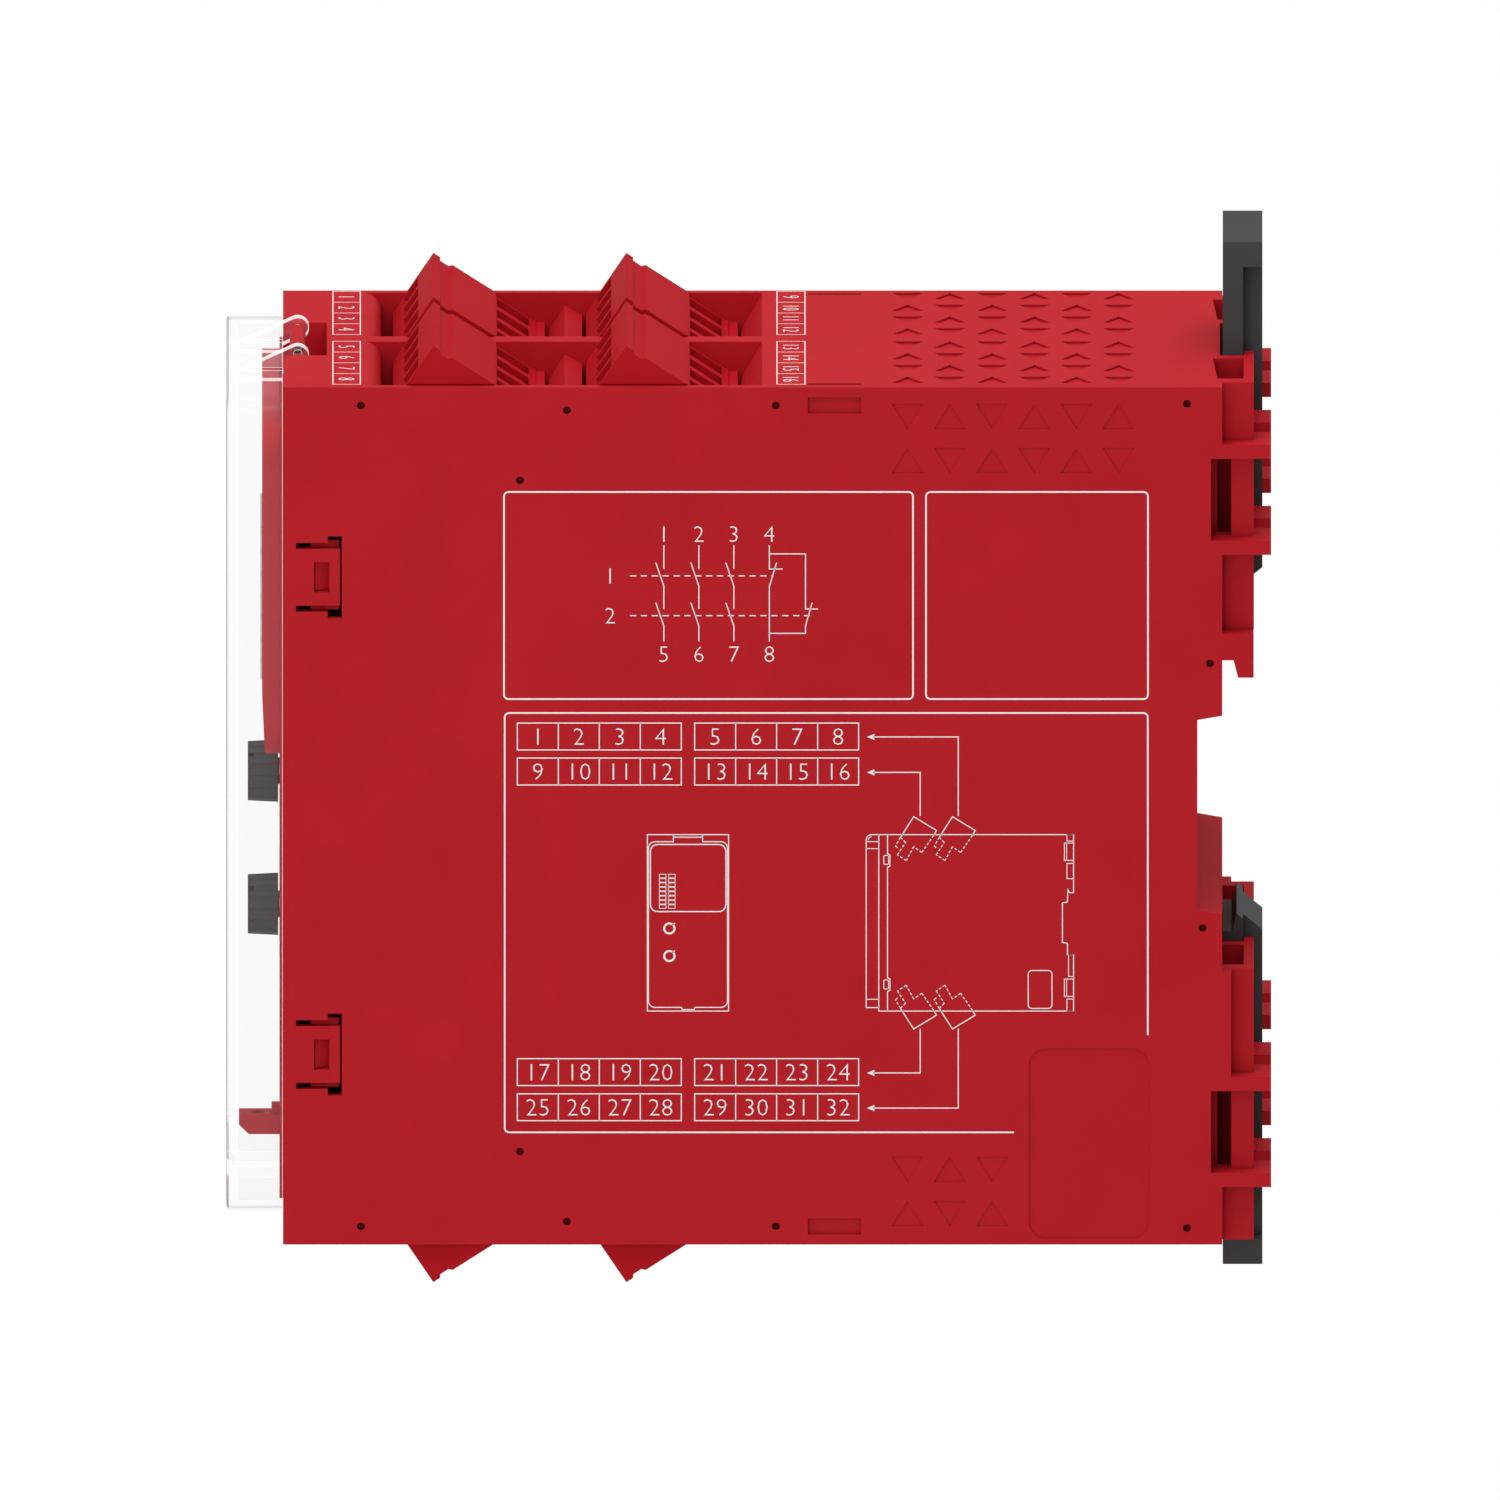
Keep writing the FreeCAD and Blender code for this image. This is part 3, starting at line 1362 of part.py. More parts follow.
def relay(label, sign, z):
    """A safety relay on a side board: case, base and sealing pip."""
    piece = Piece(label)
    board = S.side_board_at
    seat = board - S.relay_base
    side = S.relay_half
    y_high = -S.relay_back
    y_low = y_high - S.relay_long
    low, high = ordered(sign * (board - S.relay_tall), sign * seat)
    piece.add("case", "YZ", low, high, box(y_low, y_high, z - side, z + side))
    names = []
    for y in (y_low, y_high):
        names += piece.edges("x", y=y, z=z - side) + piece.edges("x", y=y, z=z + side)
    piece.soften("case_corners", "Fillet", S.relay_round, names)
    low, high = ordered(sign * seat, sign * board)
    step = S.relay_base_step
    foot = side - S.relay_base_side
    piece.add("base", "YZ", low, high, box(y_low + step, y_high - step, z - foot, z + foot))
    return piece


def transformer():
    """The isolating transformer: core frame round a bobbin."""
    piece = Piece("transformer")
    board = S.side_board_at
    back = -S.core_back
    core_front = back - S.core_long
    seat = board - S.bobbin_thick
    crown = seat - S.core_tall
    side = S.core_half
    piece.add("core", "YZ", crown, seat, box(core_front, back, -side, side))
    inside = side - S.core_limb
    upper = crown + S.core_limb
    lower = upper + S.core_window_wide + S.core_tongue
    for name, start in (("core_window", upper), ("core_window_low", lower)):
        piece.cut(name, "XZ", core_front, back, box(start, start + S.core_window_wide, -inside, inside))
    edge = S.bobbin_edge
    rim = side + S.bobbin_side
    piece.add("bobbin", "YZ", seat, board, box(core_front - edge, back + edge, -rim, rim))
    return piece


def capacitor(label, z):
    """An electrolytic capacitor standing on the left board."""
    piece = Piece(label)
    board = -S.side_board_at
    seat = board + S.bung_thick
    crown = board + S.can_tall
    groove = S.can_groove_half
    piece.add("can", "YZ", seat, crown, circle(-S.can_at, z, S.can_radius))
    piece.add("bung", "YZ", board, seat, circle(-S.can_at, z, S.bung_radius))
    piece.cut("vent_cross", "YZ", crown - S.can_groove_deep, crown, box(
        -S.can_at - S.can_groove_long, -S.can_at + S.can_groove_long, z - groove, z + groove))
    return piece


def controller(label, sign):
    """A logic chip with leads on two sides."""
    chip = Piece(label)
    board = S.side_board_at
    low, high = ordered(sign * (board - S.chip_top), sign * (board - S.chip_under))
    side = S.chip_half
    chip.add("case", "YZ", low, high, box(-S.chip_at - side, -S.chip_at + side, mid - side, mid + side))
    low, high = ordered(sign * (board - S.lead_thick), sign * board)
    first = mid - S.lead_pitch * (LEADS - 1) / 2
    for number in range(LEADS):
        z = first + S.lead_pitch * number
        chip.add(f"leads_{number}", "YZ", low, high, box(
            -S.chip_at - S.lead_reach, -S.chip_at + S.lead_reach, z - S.lead_half, z + S.lead_half))
    return chip


def fuse():
    """The supply fuse: a small cylinder with end caps on the right board."""
    piece = Piece("supply_fuse")
    board = S.side_board_at
    axis = board - S.fuse_off
    tube_front = -S.fuse_at - S.fuse_half
    tube_back = -S.fuse_at + S.fuse_half
    piece.add("tube", "XZ", tube_front, tube_back, circle(axis, S.fuse_z, S.fuse_radius))
    piece.add("front_cap", "XZ", tube_front - S.fuse_cap, tube_front, circle(axis, S.fuse_z, S.fuse_off))
    piece.add("rear_cap", "XZ", tube_back, tube_back + S.fuse_cap, circle(axis, S.fuse_z, S.fuse_off))
    return piece


def bus_connector():
    """The contact block in the rear notch, reached through the rear wall."""
    block = Piece("bus_connector")
    block.add("block", "XZ", -S.rear_inner - S.bus_deep, -S.rear_inner, box(
        -S.bus_half, S.bus_half, S.bus_at - S.bus_high, S.bus_at + S.bus_high))
    block.add("mouth", "XZ", -S.rear_inner, -S.notch_depth, bus_mouth(as_size(0.0)))
    first = -S.bus_contact_pitch * (BUS_CONTACTS - 1) / 2
    wide = S.bus_contact_wide / 2
    high = S.bus_contact_high / 2
    slot = block.cut("contact_slot", "XZ", -S.rear_inner - S.bus_contact_deep, -S.notch_depth, box(
        first - wide, first + wide, S.bus_at - high, S.bus_at + high))
    block.row("contact_slots", slot, "X", S.bus_contact_pitch, BUS_CONTACTS)
    return block


housing_body()
side_cover()
front_panel()
clear_cover()
light_guide("light_guide_left", S.lens_left)
light_guide("light_guide_right", S.lens_right)
knob("mode_knob", S.mode_knob_z)
knob("start_knob", S.start_knob_z)
selector_switch("mode_switch", S.mode_knob_z)
selector_switch("start_switch", S.start_knob_z)
for end in ENDS:
    for side in SIDES:
        for row in ROWS:
            terminal_plug(f"{end}_{row}_{side}_plug", side, row, end)
            plug_clamps(f"{end}_{row}_{side}_clamps", side, row, end)
        pin_header(f"{end}_{side}_header", side, end)
        header_pins(f"{end}_{side}_pins", side, end)
foot("upper_foot", upper=True)
foot("lower_foot", upper=False)
front_board()
for side, sign in SIDES.items():
    side_board(f"{side}_board", sign)
    board_connector(f"{side}_board_connector", sign)
    controller(f"{side}_controller", sign)
    relay(f"{side}_relay_upper", sign, S.upper_relay_z)
    relay(f"{side}_relay_lower", sign, S.lower_relay_z)
transformer()
capacitor("capacitor_upper", S.upper_can_z)
capacitor("capacitor_lower", S.lower_can_z)
fuse()
bus_connector()

doc.recompute()
for item in doc.Objects:
    if "Invalid" in item.State or "Error" in item.State:
        raise RuntimeError(f"{item.Label} failed: {item.State}")
for piece in Piece.made:
    piece.check_steps()
    shape = piece.body.Shape
    if shape.isNull() or not shape.isValid():
        raise RuntimeError(f"{piece.body.Label} has no valid shape")

os.makedirs("parts", exist_ok=True)
for piece in Piece.made:
    piece.body.Shape.exportStep(f"parts/{piece.body.Label}.step")
    box_of = piece.body.Shape.BoundBox
    print(f"{piece.body.Label}: {len(piece.body.Shape.Solids)} solid(s), {piece.body.Shape.Volume:.1f} mm3, "
          f"X {box_of.XMin:.2f}..{box_of.XMax:.2f} Y {box_of.YMin:.2f}..{box_of.YMax:.2f} "
          f"Z {box_of.ZMin:.2f}..{box_of.ZMax:.2f}")
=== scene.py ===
"""Looks of the safety relay: moulded finishes, white print on its side and labels, marks on its panel.

Blender works in metres. The print is drawn in millimetres of the part's own frame.
"""
import json
import math

import bmesh
import bpy
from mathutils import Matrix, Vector


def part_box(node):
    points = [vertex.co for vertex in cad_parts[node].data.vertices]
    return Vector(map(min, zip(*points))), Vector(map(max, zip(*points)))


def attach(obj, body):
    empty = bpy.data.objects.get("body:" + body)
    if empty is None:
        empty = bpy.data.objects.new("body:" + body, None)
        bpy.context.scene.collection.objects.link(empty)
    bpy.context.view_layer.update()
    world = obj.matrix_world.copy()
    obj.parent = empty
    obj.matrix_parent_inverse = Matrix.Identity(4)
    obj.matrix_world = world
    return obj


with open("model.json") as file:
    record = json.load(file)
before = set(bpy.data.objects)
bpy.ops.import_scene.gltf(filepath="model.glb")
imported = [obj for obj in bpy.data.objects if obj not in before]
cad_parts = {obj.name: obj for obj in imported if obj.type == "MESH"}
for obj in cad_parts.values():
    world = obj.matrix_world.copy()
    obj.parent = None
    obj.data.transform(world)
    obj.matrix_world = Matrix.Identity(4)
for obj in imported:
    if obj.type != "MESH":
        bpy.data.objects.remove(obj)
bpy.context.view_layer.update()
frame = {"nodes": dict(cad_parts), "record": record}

MM = 0.001

# the faces that carry print, in millimetres
PANEL_RISE = 0.4
BEZEL_RISE = 1.95
SIDE_LOW, SIDE_HIGH = (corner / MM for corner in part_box("side_cover"))
SIDE_X = SIDE_HIGH.x
HOUSING_TOP = SIDE_HIGH.z
HOUSING_BOTTOM = SIDE_LOW.z
PANEL_Y = SIDE_LOW.y - PANEL_RISE
BEZEL_Y = PANEL_Y - BEZEL_RISE

# the clear cover: a tray, its rounded rim and its two hinge arms
TRAY_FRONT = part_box("clear_cover")[0].y / MM
TRAY_HALF = 22.0
TRAY_TALL = 47.1
TRAY_MIDDLE = 0.1
TRAY_EDGE = 1.2
TRAY_LIP = 0.3
ARM_MIDDLE = 6.5
ARM_HALF = 0.75

# the moulded grain, its flow marks, its softly broken edges, and how far the painted shade in its slots
# and corners reaches
CLOUD_SIZE = 14.0
FLOW_SIZE = 2.5
GRAIN_SIZE = 0.22
GRAIN_DEPTH = 0.006
MOULDED_EDGE = 0.09
PAINTED_SHADE_REACH = 2.2

# the ink, half its thickness, and the widths of its lines
INK_HALF = 0.02
LINE = 0.12
THIN_LINE = 0.11
FRAME_LINE = 0.19
DIGIT_HEIGHT = 0.69
DIGIT_THINNING = 0.02

# the printed tables, the contact plan's poles and links, and a plug's outline from its peak
TABLE_WIDTH = 18.4
LABEL_WIDTH = 19.95
POLES = (-62.67, -58.74, -54.81)
LAST_POLE = -50.83
LINKS = (27.28, 22.68)
PLUG_SIGN = ((-1.48, -2.39), (0.0, 0.0), (2.55, -1.6), (2.24, -2.17), (0.92, -4.13), (0.0, -3.47),
             (-0.84, -5.07), (-1.82, -4.41), (-0.92, -2.97), (-1.48, -2.39), (-2.04, -3.4), (-1.7, -3.7))

# the indicators and the selectors on the panel
LENS_ROWS = 8
LENS_FIRST = 8.8
LENS_PITCH = 2.51
LENS_NUMBERS_X = -17.2
SELECTOR_X = -10.6
SELECTORS = (-3.5, -18.9)

# the photograph's view and the light
VIEW_RISE = 14.0
VIEW_CENTRE = (22.5, -53.0, 7.137)
VIEW_WIDTH = 0.16833
CAMERA_AWAY = 1.2
LAMP_AIM = (0.0, -0.05, 0.0)
LAMPS = (
    # name, place, width, power
    ("ceiling_lamp", (0.10, -0.10, 0.75), 0.9, 5.7),
    ("side_lamp", (0.95, -0.30, 0.20), 0.7, 2.4),
    ("front_lamp", (0.25, -0.95, 0.25), 0.7, 1.3),
    ("back_lamp", (-0.7, 0.7, 0.35), 0.8, 2.2),
)
SKY_STRENGTH = 0.35
FLOOR_HALF = 6.0
FLOOR_Z = -0.2


class Value:
    """A shader socket that takes part in Python expressions."""

    def __init__(self, finish, socket):
        self.finish = finish
        self.socket = socket

    def math(self, operation, *values):
        return self.finish.node("Math", {"operation": operation}, dict(enumerate(values)))

    def __add__(self, other):
        return self.math("ADD", self, other)

    def __sub__(self, other):
        return self.math("SUBTRACT", self, other)

    def __rsub__(self, other):
        return self.math("SUBTRACT", other, self)

    def __mul__(self, other):
        return self.math("MULTIPLY", self, other)

    def __pow__(self, other):
        return self.math("POWER", self, other)

    def __gt__(self, other):
        return self.math("GREATER_THAN", self, other)

    def __lt__(self, other):
        return self.math("LESS_THAN", self, other)

    def wrapped(self, step):
        """The value folded back into 0..step, over and over."""
        return self.math("FLOORED_MODULO", self, step)

    def size(self):
        """The value without its sign."""
        return self.math("ABSOLUTE", self)

    def clamped(self):
        """The value kept within 0..1."""
        return self.finish.node("Clamp", {}, {0: self})


class Finish:
    """A material whose shader has fixed values and a few that vary over the surface."""

    def __init__(self, name, **fixed):
        self.material = bpy.data.materials.new(name)
        self.material.use_nodes = True
        self.tree = self.material.node_tree
        self.shader = self.tree.nodes["Principled BSDF"]
        for socket, value in fixed.items():
            self.shader.inputs[socket.replace("_", " ")].default_value = value
        self.place = self.node("TexCoord", {}, {}, "Object")

    def node(self, kind, settings, inputs, output=0):
        """A node of a type: its settings first, then the values or links of its sockets."""
        made = self.tree.nodes.new(f"ShaderNode{kind}")
        for key, value in settings.items():
            setattr(made, key, value)
        for key, value in inputs.items():
            if isinstance(value, Value):
                self.tree.links.new(value.socket, made.inputs[key])
            else:
                made.inputs[key].default_value = value
        return Value(self, made.outputs[output])

    def mix(self, factor, first, second):
        """One colour passing into another; a Mix node has them at its sockets 6 and 7."""
        return self.node("Mix", {"data_type": "RGBA"}, {0: factor, 6: first, 7: second}, 2)

    def noise(self, grain_mm, detail=2.0, stretch=(1.0, 1.0, 1.0)):
        """Soft noise whose grains are about that many millimetres wide."""
        place = self.node("VectorMath", {"operation": "MULTIPLY"}, {0: self.place, 1: stretch})
        inputs = {"Vector": place, "Scale": 1.0 / (grain_mm * MM), "Detail": detail}
        return self.node("TexNoise", {}, inputs, "Fac")

    def axis(self, letter):
        """One coordinate of the surface point, in millimetres."""
        return self.node("SeparateXYZ", {}, {0: self.place}, letter) * (1.0 / MM)

    def openness(self, reach_mm):
        """1 on an open face, down to 0 deep in a slot or corner of the piece itself, of that reach."""
        settings = {"samples": 4, "only_local": True}
        return self.node("AmbientOcclusion", settings, {"Distance": reach_mm * MM}, "AO")

    def edge_normal(self, radius_mm):
        """Normals that run softly round every edge, as on a moulding."""
        return self.node("Bevel", {"samples": 6}, {"Radius": radius_mm * MM})

    def bump(self, height, depth_mm, normal=None):
        """A surface normal from a height of 0..1 that is so many millimetres deep."""
        inputs = {"Height": height, "Distance": depth_mm * MM, "Strength": 1.0}
        if normal is not None:
            inputs["Normal"] = normal
        return self.node("Bump", {}, inputs)

    def vary(self, **sockets):
        """Links what changes over the surface to the shader."""
        for name, value in sockets.items():
            self.tree.links.new(value.socket, self.shader.inputs[name.replace("_", " ")])
        return self.material


def tone(red, green, blue):
    """An opaque colour."""
    return (red, green, blue, 1.0)


def moulded_plastic(name, colour, roughness, sheen=0.08):
    """Moulded plastic: spark-eroded grain, faint flow clouds, softly broken edges, and painted shade that
    darkens its slots and corners.
    """
    finish = Finish(name, IOR=1.5, Specular_IOR_Level=sheen)
    clouds = finish.noise(CLOUD_SIZE, 3.0)
    flow = finish.noise(FLOW_SIZE, 4.0, (1.0, 0.35, 0.35))
    grain = finish.noise(GRAIN_SIZE, 3.0)
    deeper = tone(*(0.96 * part for part in colour))
    paler = tone(*(1.05 * part + 0.002 for part in colour))
    # painted shade: deep in slots and corners the colour falls to 0.14 of itself
    shade = tone(*(0.14 * part for part in colour))
    blend = ((clouds * 0.6 + flow * 0.4 - 0.3) * 2.5).clamped()
    # ambient occlusion sets where the painted shade falls
    light = ((finish.openness(PAINTED_SHADE_REACH) - 0.06) * 2.4).clamped()
    return finish.vary(
        Base_Color=finish.mix(light, shade, finish.mix(blend, deeper, paler)),
        Roughness=flow * 0.08 + grain * 0.06 + (roughness - 0.07),
        Normal=finish.bump(grain, GRAIN_DEPTH, finish.edge_normal(MOULDED_EDGE)),
    )


def clear_plastic():
    """Clear polished sheet, all but gone face on.

    Its cut edges and strips along its arms' rims glow with painted highlights, and painted shade darkens
    it where its rounded front rim turns away.
    """
    # the emission glows only in the painted highlights
    finish = Finish("clear_plastic", IOR=1.49, Specular_IOR_Level=0.6, Emission_Strength=0.8)
    haze = finish.noise(6.0, 3.0)
    slant = finish.node("LayerWeight", {}, {"Blend": 0.5}, "Facing")
    width = finish.axis("X").size()
    height = finish.axis("Z")
    near_front = finish.axis("Y") < TRAY_FRONT + TRAY_LIP
    near_side = width > TRAY_HALF - TRAY_EDGE
    near_end = (height - TRAY_MIDDLE).size() > TRAY_TALL - TRAY_EDGE
    rim = near_front + near_side + near_end > 1.5
    # painted shade: the rounded rim darkens where it turns away from the camera
    dark = rim * slant ** 1.6

    # painted highlight: cut edges turn pale and glow where the bevelled normal leaves the flat one
    flat = finish.node("NewGeometry", {}, {}, "Normal")
    bent = finish.edge_normal(0.15)
    turn = finish.node("VectorMath", {"operation": "DOT_PRODUCT"}, {0: bent, 1: flat}, "Value")
    painted_edge_highlight = ((1.0 - turn) * 6.0).clamped()

    facing = finish.node("TexCoord", {}, {}, "Normal")
    across = finish.node("SeparateXYZ", {}, {0: facing}, "X").size()
    # painted highlight: a pale glowing strip along each hinge arm's rim
    arm = ((width - ARM_MIDDLE).size() < ARM_HALF) * (height > TRAY_TALL - TRAY_EDGE)
    painted_arm_highlight = arm * (across < 0.7) * (1.0 - rim)
    pale = (painted_edge_highlight * (1.0 - dark * 2.0) + painted_arm_highlight).clamped()
    return finish.vary(
        # painted shade turns the rim dark pinkish grey
        Base_Color=finish.mix((dark * 2.0).clamped(), tone(0.92, 0.92, 0.93), tone(0.26, 0.16, 0.17)),
        Roughness=haze * 0.04 + 0.03,
        # the painted highlights glow pale grey
        Emission_Color=finish.mix(pale, tone(0.0, 0.0, 0.0), tone(0.9, 0.9, 0.9)),
        # slant adds a painted reflection: the sheet grows pale and more opaque at grazing angles
        Alpha=(dark * 0.8 + painted_edge_highlight * 0.62 + painted_arm_highlight * 0.4 + slant ** 6.0 * 0.2 + haze * 0.01 + 0.025).clamped(),
    )


def milky_lens():
    """The milky indicator lenses: glossy, with a faintly darker core."""
    finish = Finish("milky_lens", IOR=1.46, Coat_Weight=0.4, Coat_Roughness=0.1)
    clouds = finish.noise(1.4, 2.0)
    return finish.vary(
        Base_Color=finish.mix(clouds, tone(0.66, 0.67, 0.66), tone(0.80, 0.80, 0.78)),
        Roughness=clouds * 0.1 + 0.18,
        Normal=finish.bump(finish.noise(0.5), 0.004, finish.edge_normal(0.15)),
    )


def board_green():
    """Circuit board: solder mask over fine tracks, with tinned dots on a grid."""
    finish = Finish("board_green", IOR=1.5, Coat_Weight=0.3, Coat_Roughness=0.15)
    along = finish.axis("Y") + finish.axis("X")
    height = finish.axis("Z")
    wander = finish.noise(9.0, 1.0)
    track = ((along + wander * 6.0).wrapped(1.27) < 0.45) * (finish.noise(7.0, 0.0) > 0.47)
    dot_along = along.wrapped(2.54) - 1.27
    dot_height = height.wrapped(2.54) - 1.27
    dot = (dot_along * dot_along + dot_height * dot_height < 0.2) * (finish.noise(11.0, 0.0) > 0.55)
    mask = finish.mix(track, tone(0.012, 0.10, 0.035), tone(0.03, 0.19, 0.07))
    return finish.vary(
        Base_Color=finish.mix(dot, mask, tone(0.62, 0.60, 0.55)),
        Metallic=dot * 0.9,
        Roughness=0.42 - dot * 0.1 + finish.noise(0.6) * 0.06,
        Normal=finish.bump(track * 0.6 + dot, 0.03),
    )


def brushed_metal(name, colour, roughness, stretch):
    """Plated or tinned metal with fine brushing along one way."""
    finish = Finish(name)
    lines = finish.noise(0.35, 3.0, stretch)
    stain = finish.noise(3.5, 3.0)
    darker = tone(*(0.8 * part for part in colour))
    return finish.vary(
        Base_Color=finish.mix(stain, darker, tone(*colour)),
        Metallic=0.97 - stain * 0.05,
        Roughness=lines * 0.16 + roughness - 0.08,
        Normal=finish.bump(lines, 0.004, finish.edge_normal(0.08)),
    )


def laminated_core():
    """Transformer core: thin varnished steel sheets seen on their edges."""
    finish = Finish("laminated_core")
    sheet = (finish.axis("X").wrapped(0.5) - 0.25).size() * 4.0
    stain = finish.noise(2.0, 3.0)
    return finish.vary(
        Base_Color=finish.mix(sheet.clamped(), tone(0.24, 0.24, 0.25), tone(0.10, 0.09, 0.09)),
        Metallic=0.85 - sheet * 0.3,
        Roughness=stain * 0.2 + 0.35,
        Normal=finish.bump(1.0 - sheet, 0.05),
    )


def sleeved_can():
    """Capacitor: a dark shrink sleeve, a little wrinkled, with a pale stripe."""
    finish = Finish("sleeved_can", IOR=1.5)
    height = finish.axis("Z")
    stripe = (height.wrapped(21.0) - 6.0).size() < 1.1
    wrinkle = finish.noise(0.9, 3.0, (0.3, 1.0, 1.0))
    return finish.vary(
        Base_Color=finish.mix(stripe, tone(0.02, 0.03, 0.06), tone(0.55, 0.57, 0.6)),
        Roughness=wrinkle * 0.15 + 0.25,
        Normal=finish.bump(wrinkle, 0.03, finish.edge_normal(0.2)),
    )


def printing_ink():
    """White pad-printed ink, a little uneven in cover."""
    finish = Finish("printing_ink", IOR=1.45)
    cover = finish.noise(0.35, 3.0)
    return finish.vary(
        Base_Color=finish.mix(cover, tone(0.86, 0.85, 0.85), tone(0.94, 0.94, 0.94)),
        Roughness=cover * 0.12 + 0.5,
        Normal=finish.bump(cover, 0.004),
    )


FINISHES = {
    "housing_red": moulded_plastic("housing_red", (0.485, 0.0105, 0.0180), 0.54),
    "plug_red": moulded_plastic("plug_red", (0.440, 0.0075, 0.0140), 0.58, 0.03),
    "header_red": moulded_plastic("header_red", (0.30, 0.006, 0.010), 0.5),
    "clear_plastic": clear_plastic(),
    "lens_white": milky_lens(),
    "dark_grey": moulded_plastic("dark_grey", (0.058, 0.058, 0.059), 0.5),
    "black_plastic": moulded_plastic("black_plastic", (0.018, 0.018, 0.019), 0.4),
    "relay_grey": moulded_plastic("relay_grey", (0.56, 0.56, 0.52), 0.42),
    "board_green": board_green(),
    "clamp_steel": brushed_metal("clamp_steel", (0.66, 0.66, 0.68), 0.3, (0.15, 1.0, 1.0)),
    "core_steel": laminated_core(),
    "capacitor_can": sleeved_can(),
    "pin_brass": brushed_metal("pin_brass", (0.78, 0.74, 0.62), 0.28, (1.0, 1.0, 0.15)),
}
INK = printing_ink()

for part in frame["record"]["subparts"]:
    for slot in frame["nodes"][part["node"]].material_slots:
        slot.material = FINISHES[part["material_slot"]]


def placed(name, data):
    """A new object in the scene."""
    made = bpy.data.objects.new(name, data)
    bpy.context.scene.collection.objects.link(made)
    return made


def arc(u, v, radius, start, end, steps):
    """Points along an arc, angles in degrees."""
    angles = [math.radians(start + (end - start) * i / steps) for i in range(steps + 1)]
    return [(u + radius * math.cos(a), v + radius * math.sin(a)) for a in angles]


class Print:
    """Thin white marks on one flat face, gathered into one mesh: u runs across the face, v up it."""

    def __init__(self, name, origin, across, up):
        self.name = name
        self.mesh = bmesh.new()
        self.origin = Vector(origin)
        self.across = Vector(across)
        self.up = Vector(up)
        self.out = self.across.cross(self.up)

    def point(self, u, v, out):
        """A point on the face, or that far out of it, in metres."""
        return (self.origin + self.across * u + self.up * v + self.out * out) * MM

    def slab(self, corners):
        """A closed flat shape with the ink's thickness, from corners that run counter-clockwise."""
        low = [self.mesh.verts.new(self.point(u, v, -INK_HALF)) for u, v in corners]
        high = [self.mesh.verts.new(self.point(u, v, INK_HALF)) for u, v in corners]
        count = len(corners)
        self.mesh.faces.new(high)
        self.mesh.faces.new(low[::-1])
        for i in range(count):
            self.mesh.faces.new((low[i], low[(i + 1) % count], high[(i + 1) % count], high[i]))

    def line(self, points, width=LINE, closed=False):
        """A line of a width through points, with mitred corners."""
        count = len(points)
        sides = []
        for i, (u, v) in enumerate(points):
            before = points[i - 1] if closed or i else None
            after = points[(i + 1) % count] if closed or i < count - 1 else None
            ways = []
            if before:
                ways.append(Vector((u - before[0], v - before[1])).normalized())
            if after:
                ways.append(Vector((after[0] - u, after[1] - v)).normalized())
            normals = [Vector((-way.y, way.x)) for way in ways]
            normal = sum(normals, Vector((0.0, 0.0))).normalized()
            reach = width / 2 / max(0.3, normal.dot(normals[0]))
            sides.append([(u + turn * normal.x * reach, v + turn * normal.y * reach) for turn in (1, -1)])
        low = [[self.mesh.verts.new(self.point(*end, -INK_HALF)) for end in pair] for pair in sides]
        high = [[self.mesh.verts.new(self.point(*end, INK_HALF)) for end in pair] for pair in sides]
        for i in range(count if closed else count - 1):
            j = (i + 1) % count
            self.mesh.faces.new((high[i][1], high[j][1], high[j][0], high[i][0]))
            self.mesh.faces.new((low[i][0], low[j][0], low[j][1], low[i][1]))
            self.mesh.faces.new((low[i][1], low[j][1], high[j][1], high[i][1]))
            self.mesh.faces.new((low[j][0], low[i][0], high[i][0], high[j][0]))
        if not closed:
            self.mesh.faces.new((low[0][0], low[0][1], high[0][1], high[0][0]))
            self.mesh.faces.new((low[-1][1], low[-1][0], high[-1][0], high[-1][1]))

    def frame(self, u_low, v_low, u_high, v_high, round_off=0.5, width=FRAME_LINE):
        """A rectangle's outline with rounded corners."""
        points = []
        centres = ((u_high, v_high, 0), (u_low, v_high, 90), (u_low, v_low, 180), (u_high, v_low, 270))
        for u, v, start in centres:
            u += round_off if u == u_low else -round_off
            v += round_off if v == v_low else -round_off
            points += arc(u, v, round_off, start, start + 90, 4)
        self.line(points, width, closed=True)

    def dashes(self, start, end, dash=0.7, period=1.22, width=LINE):
        """A dashed straight line."""
        start, end = Vector(start), Vector(end)
        length = (end - start).length
        way = (end - start) / length
        at = 0.0
        while at < length:
            stop = min(at + dash, length)
            self.line([tuple(start + way * at), tuple(start + way * stop)], width)
            at += period

    def ring(self, u, v, radius, width, sides=24):
        """A circle drawn with a line."""
        self.line(arc(u, v, radius, 0, 360 - 360 / sides, sides - 1), width, closed=True)

    def number(self, value, u, v, height):
        """A plain number centred on a point, of a digit height."""
        text = bpy.data.curves.new("digits", "FONT")
        text.body = str(value)
        text.align_x = "CENTER"
        text.resolution_u = 2
        text.size = height / DIGIT_HEIGHT
        text.extrude = INK_HALF
        text.offset = -DIGIT_THINNING * text.size
        carrier = placed("digits", text)
        bpy.context.view_layer.update()
        drawn = carrier.evaluated_get(bpy.context.evaluated_depsgraph_get())
        shape = bpy.data.meshes.new_from_object(drawn)
        start = len(self.mesh.verts)
        self.mesh.from_mesh(shape)
        self.mesh.verts.ensure_lookup_table()
        for vert in self.mesh.verts[start:]:
            vert.co = self.point(u + vert.co.x, v - height / 2 + vert.co.y, vert.co.z)
        bpy.data.objects.remove(carrier)
        bpy.data.curves.remove(text)
        bpy.data.meshes.remove(shape)

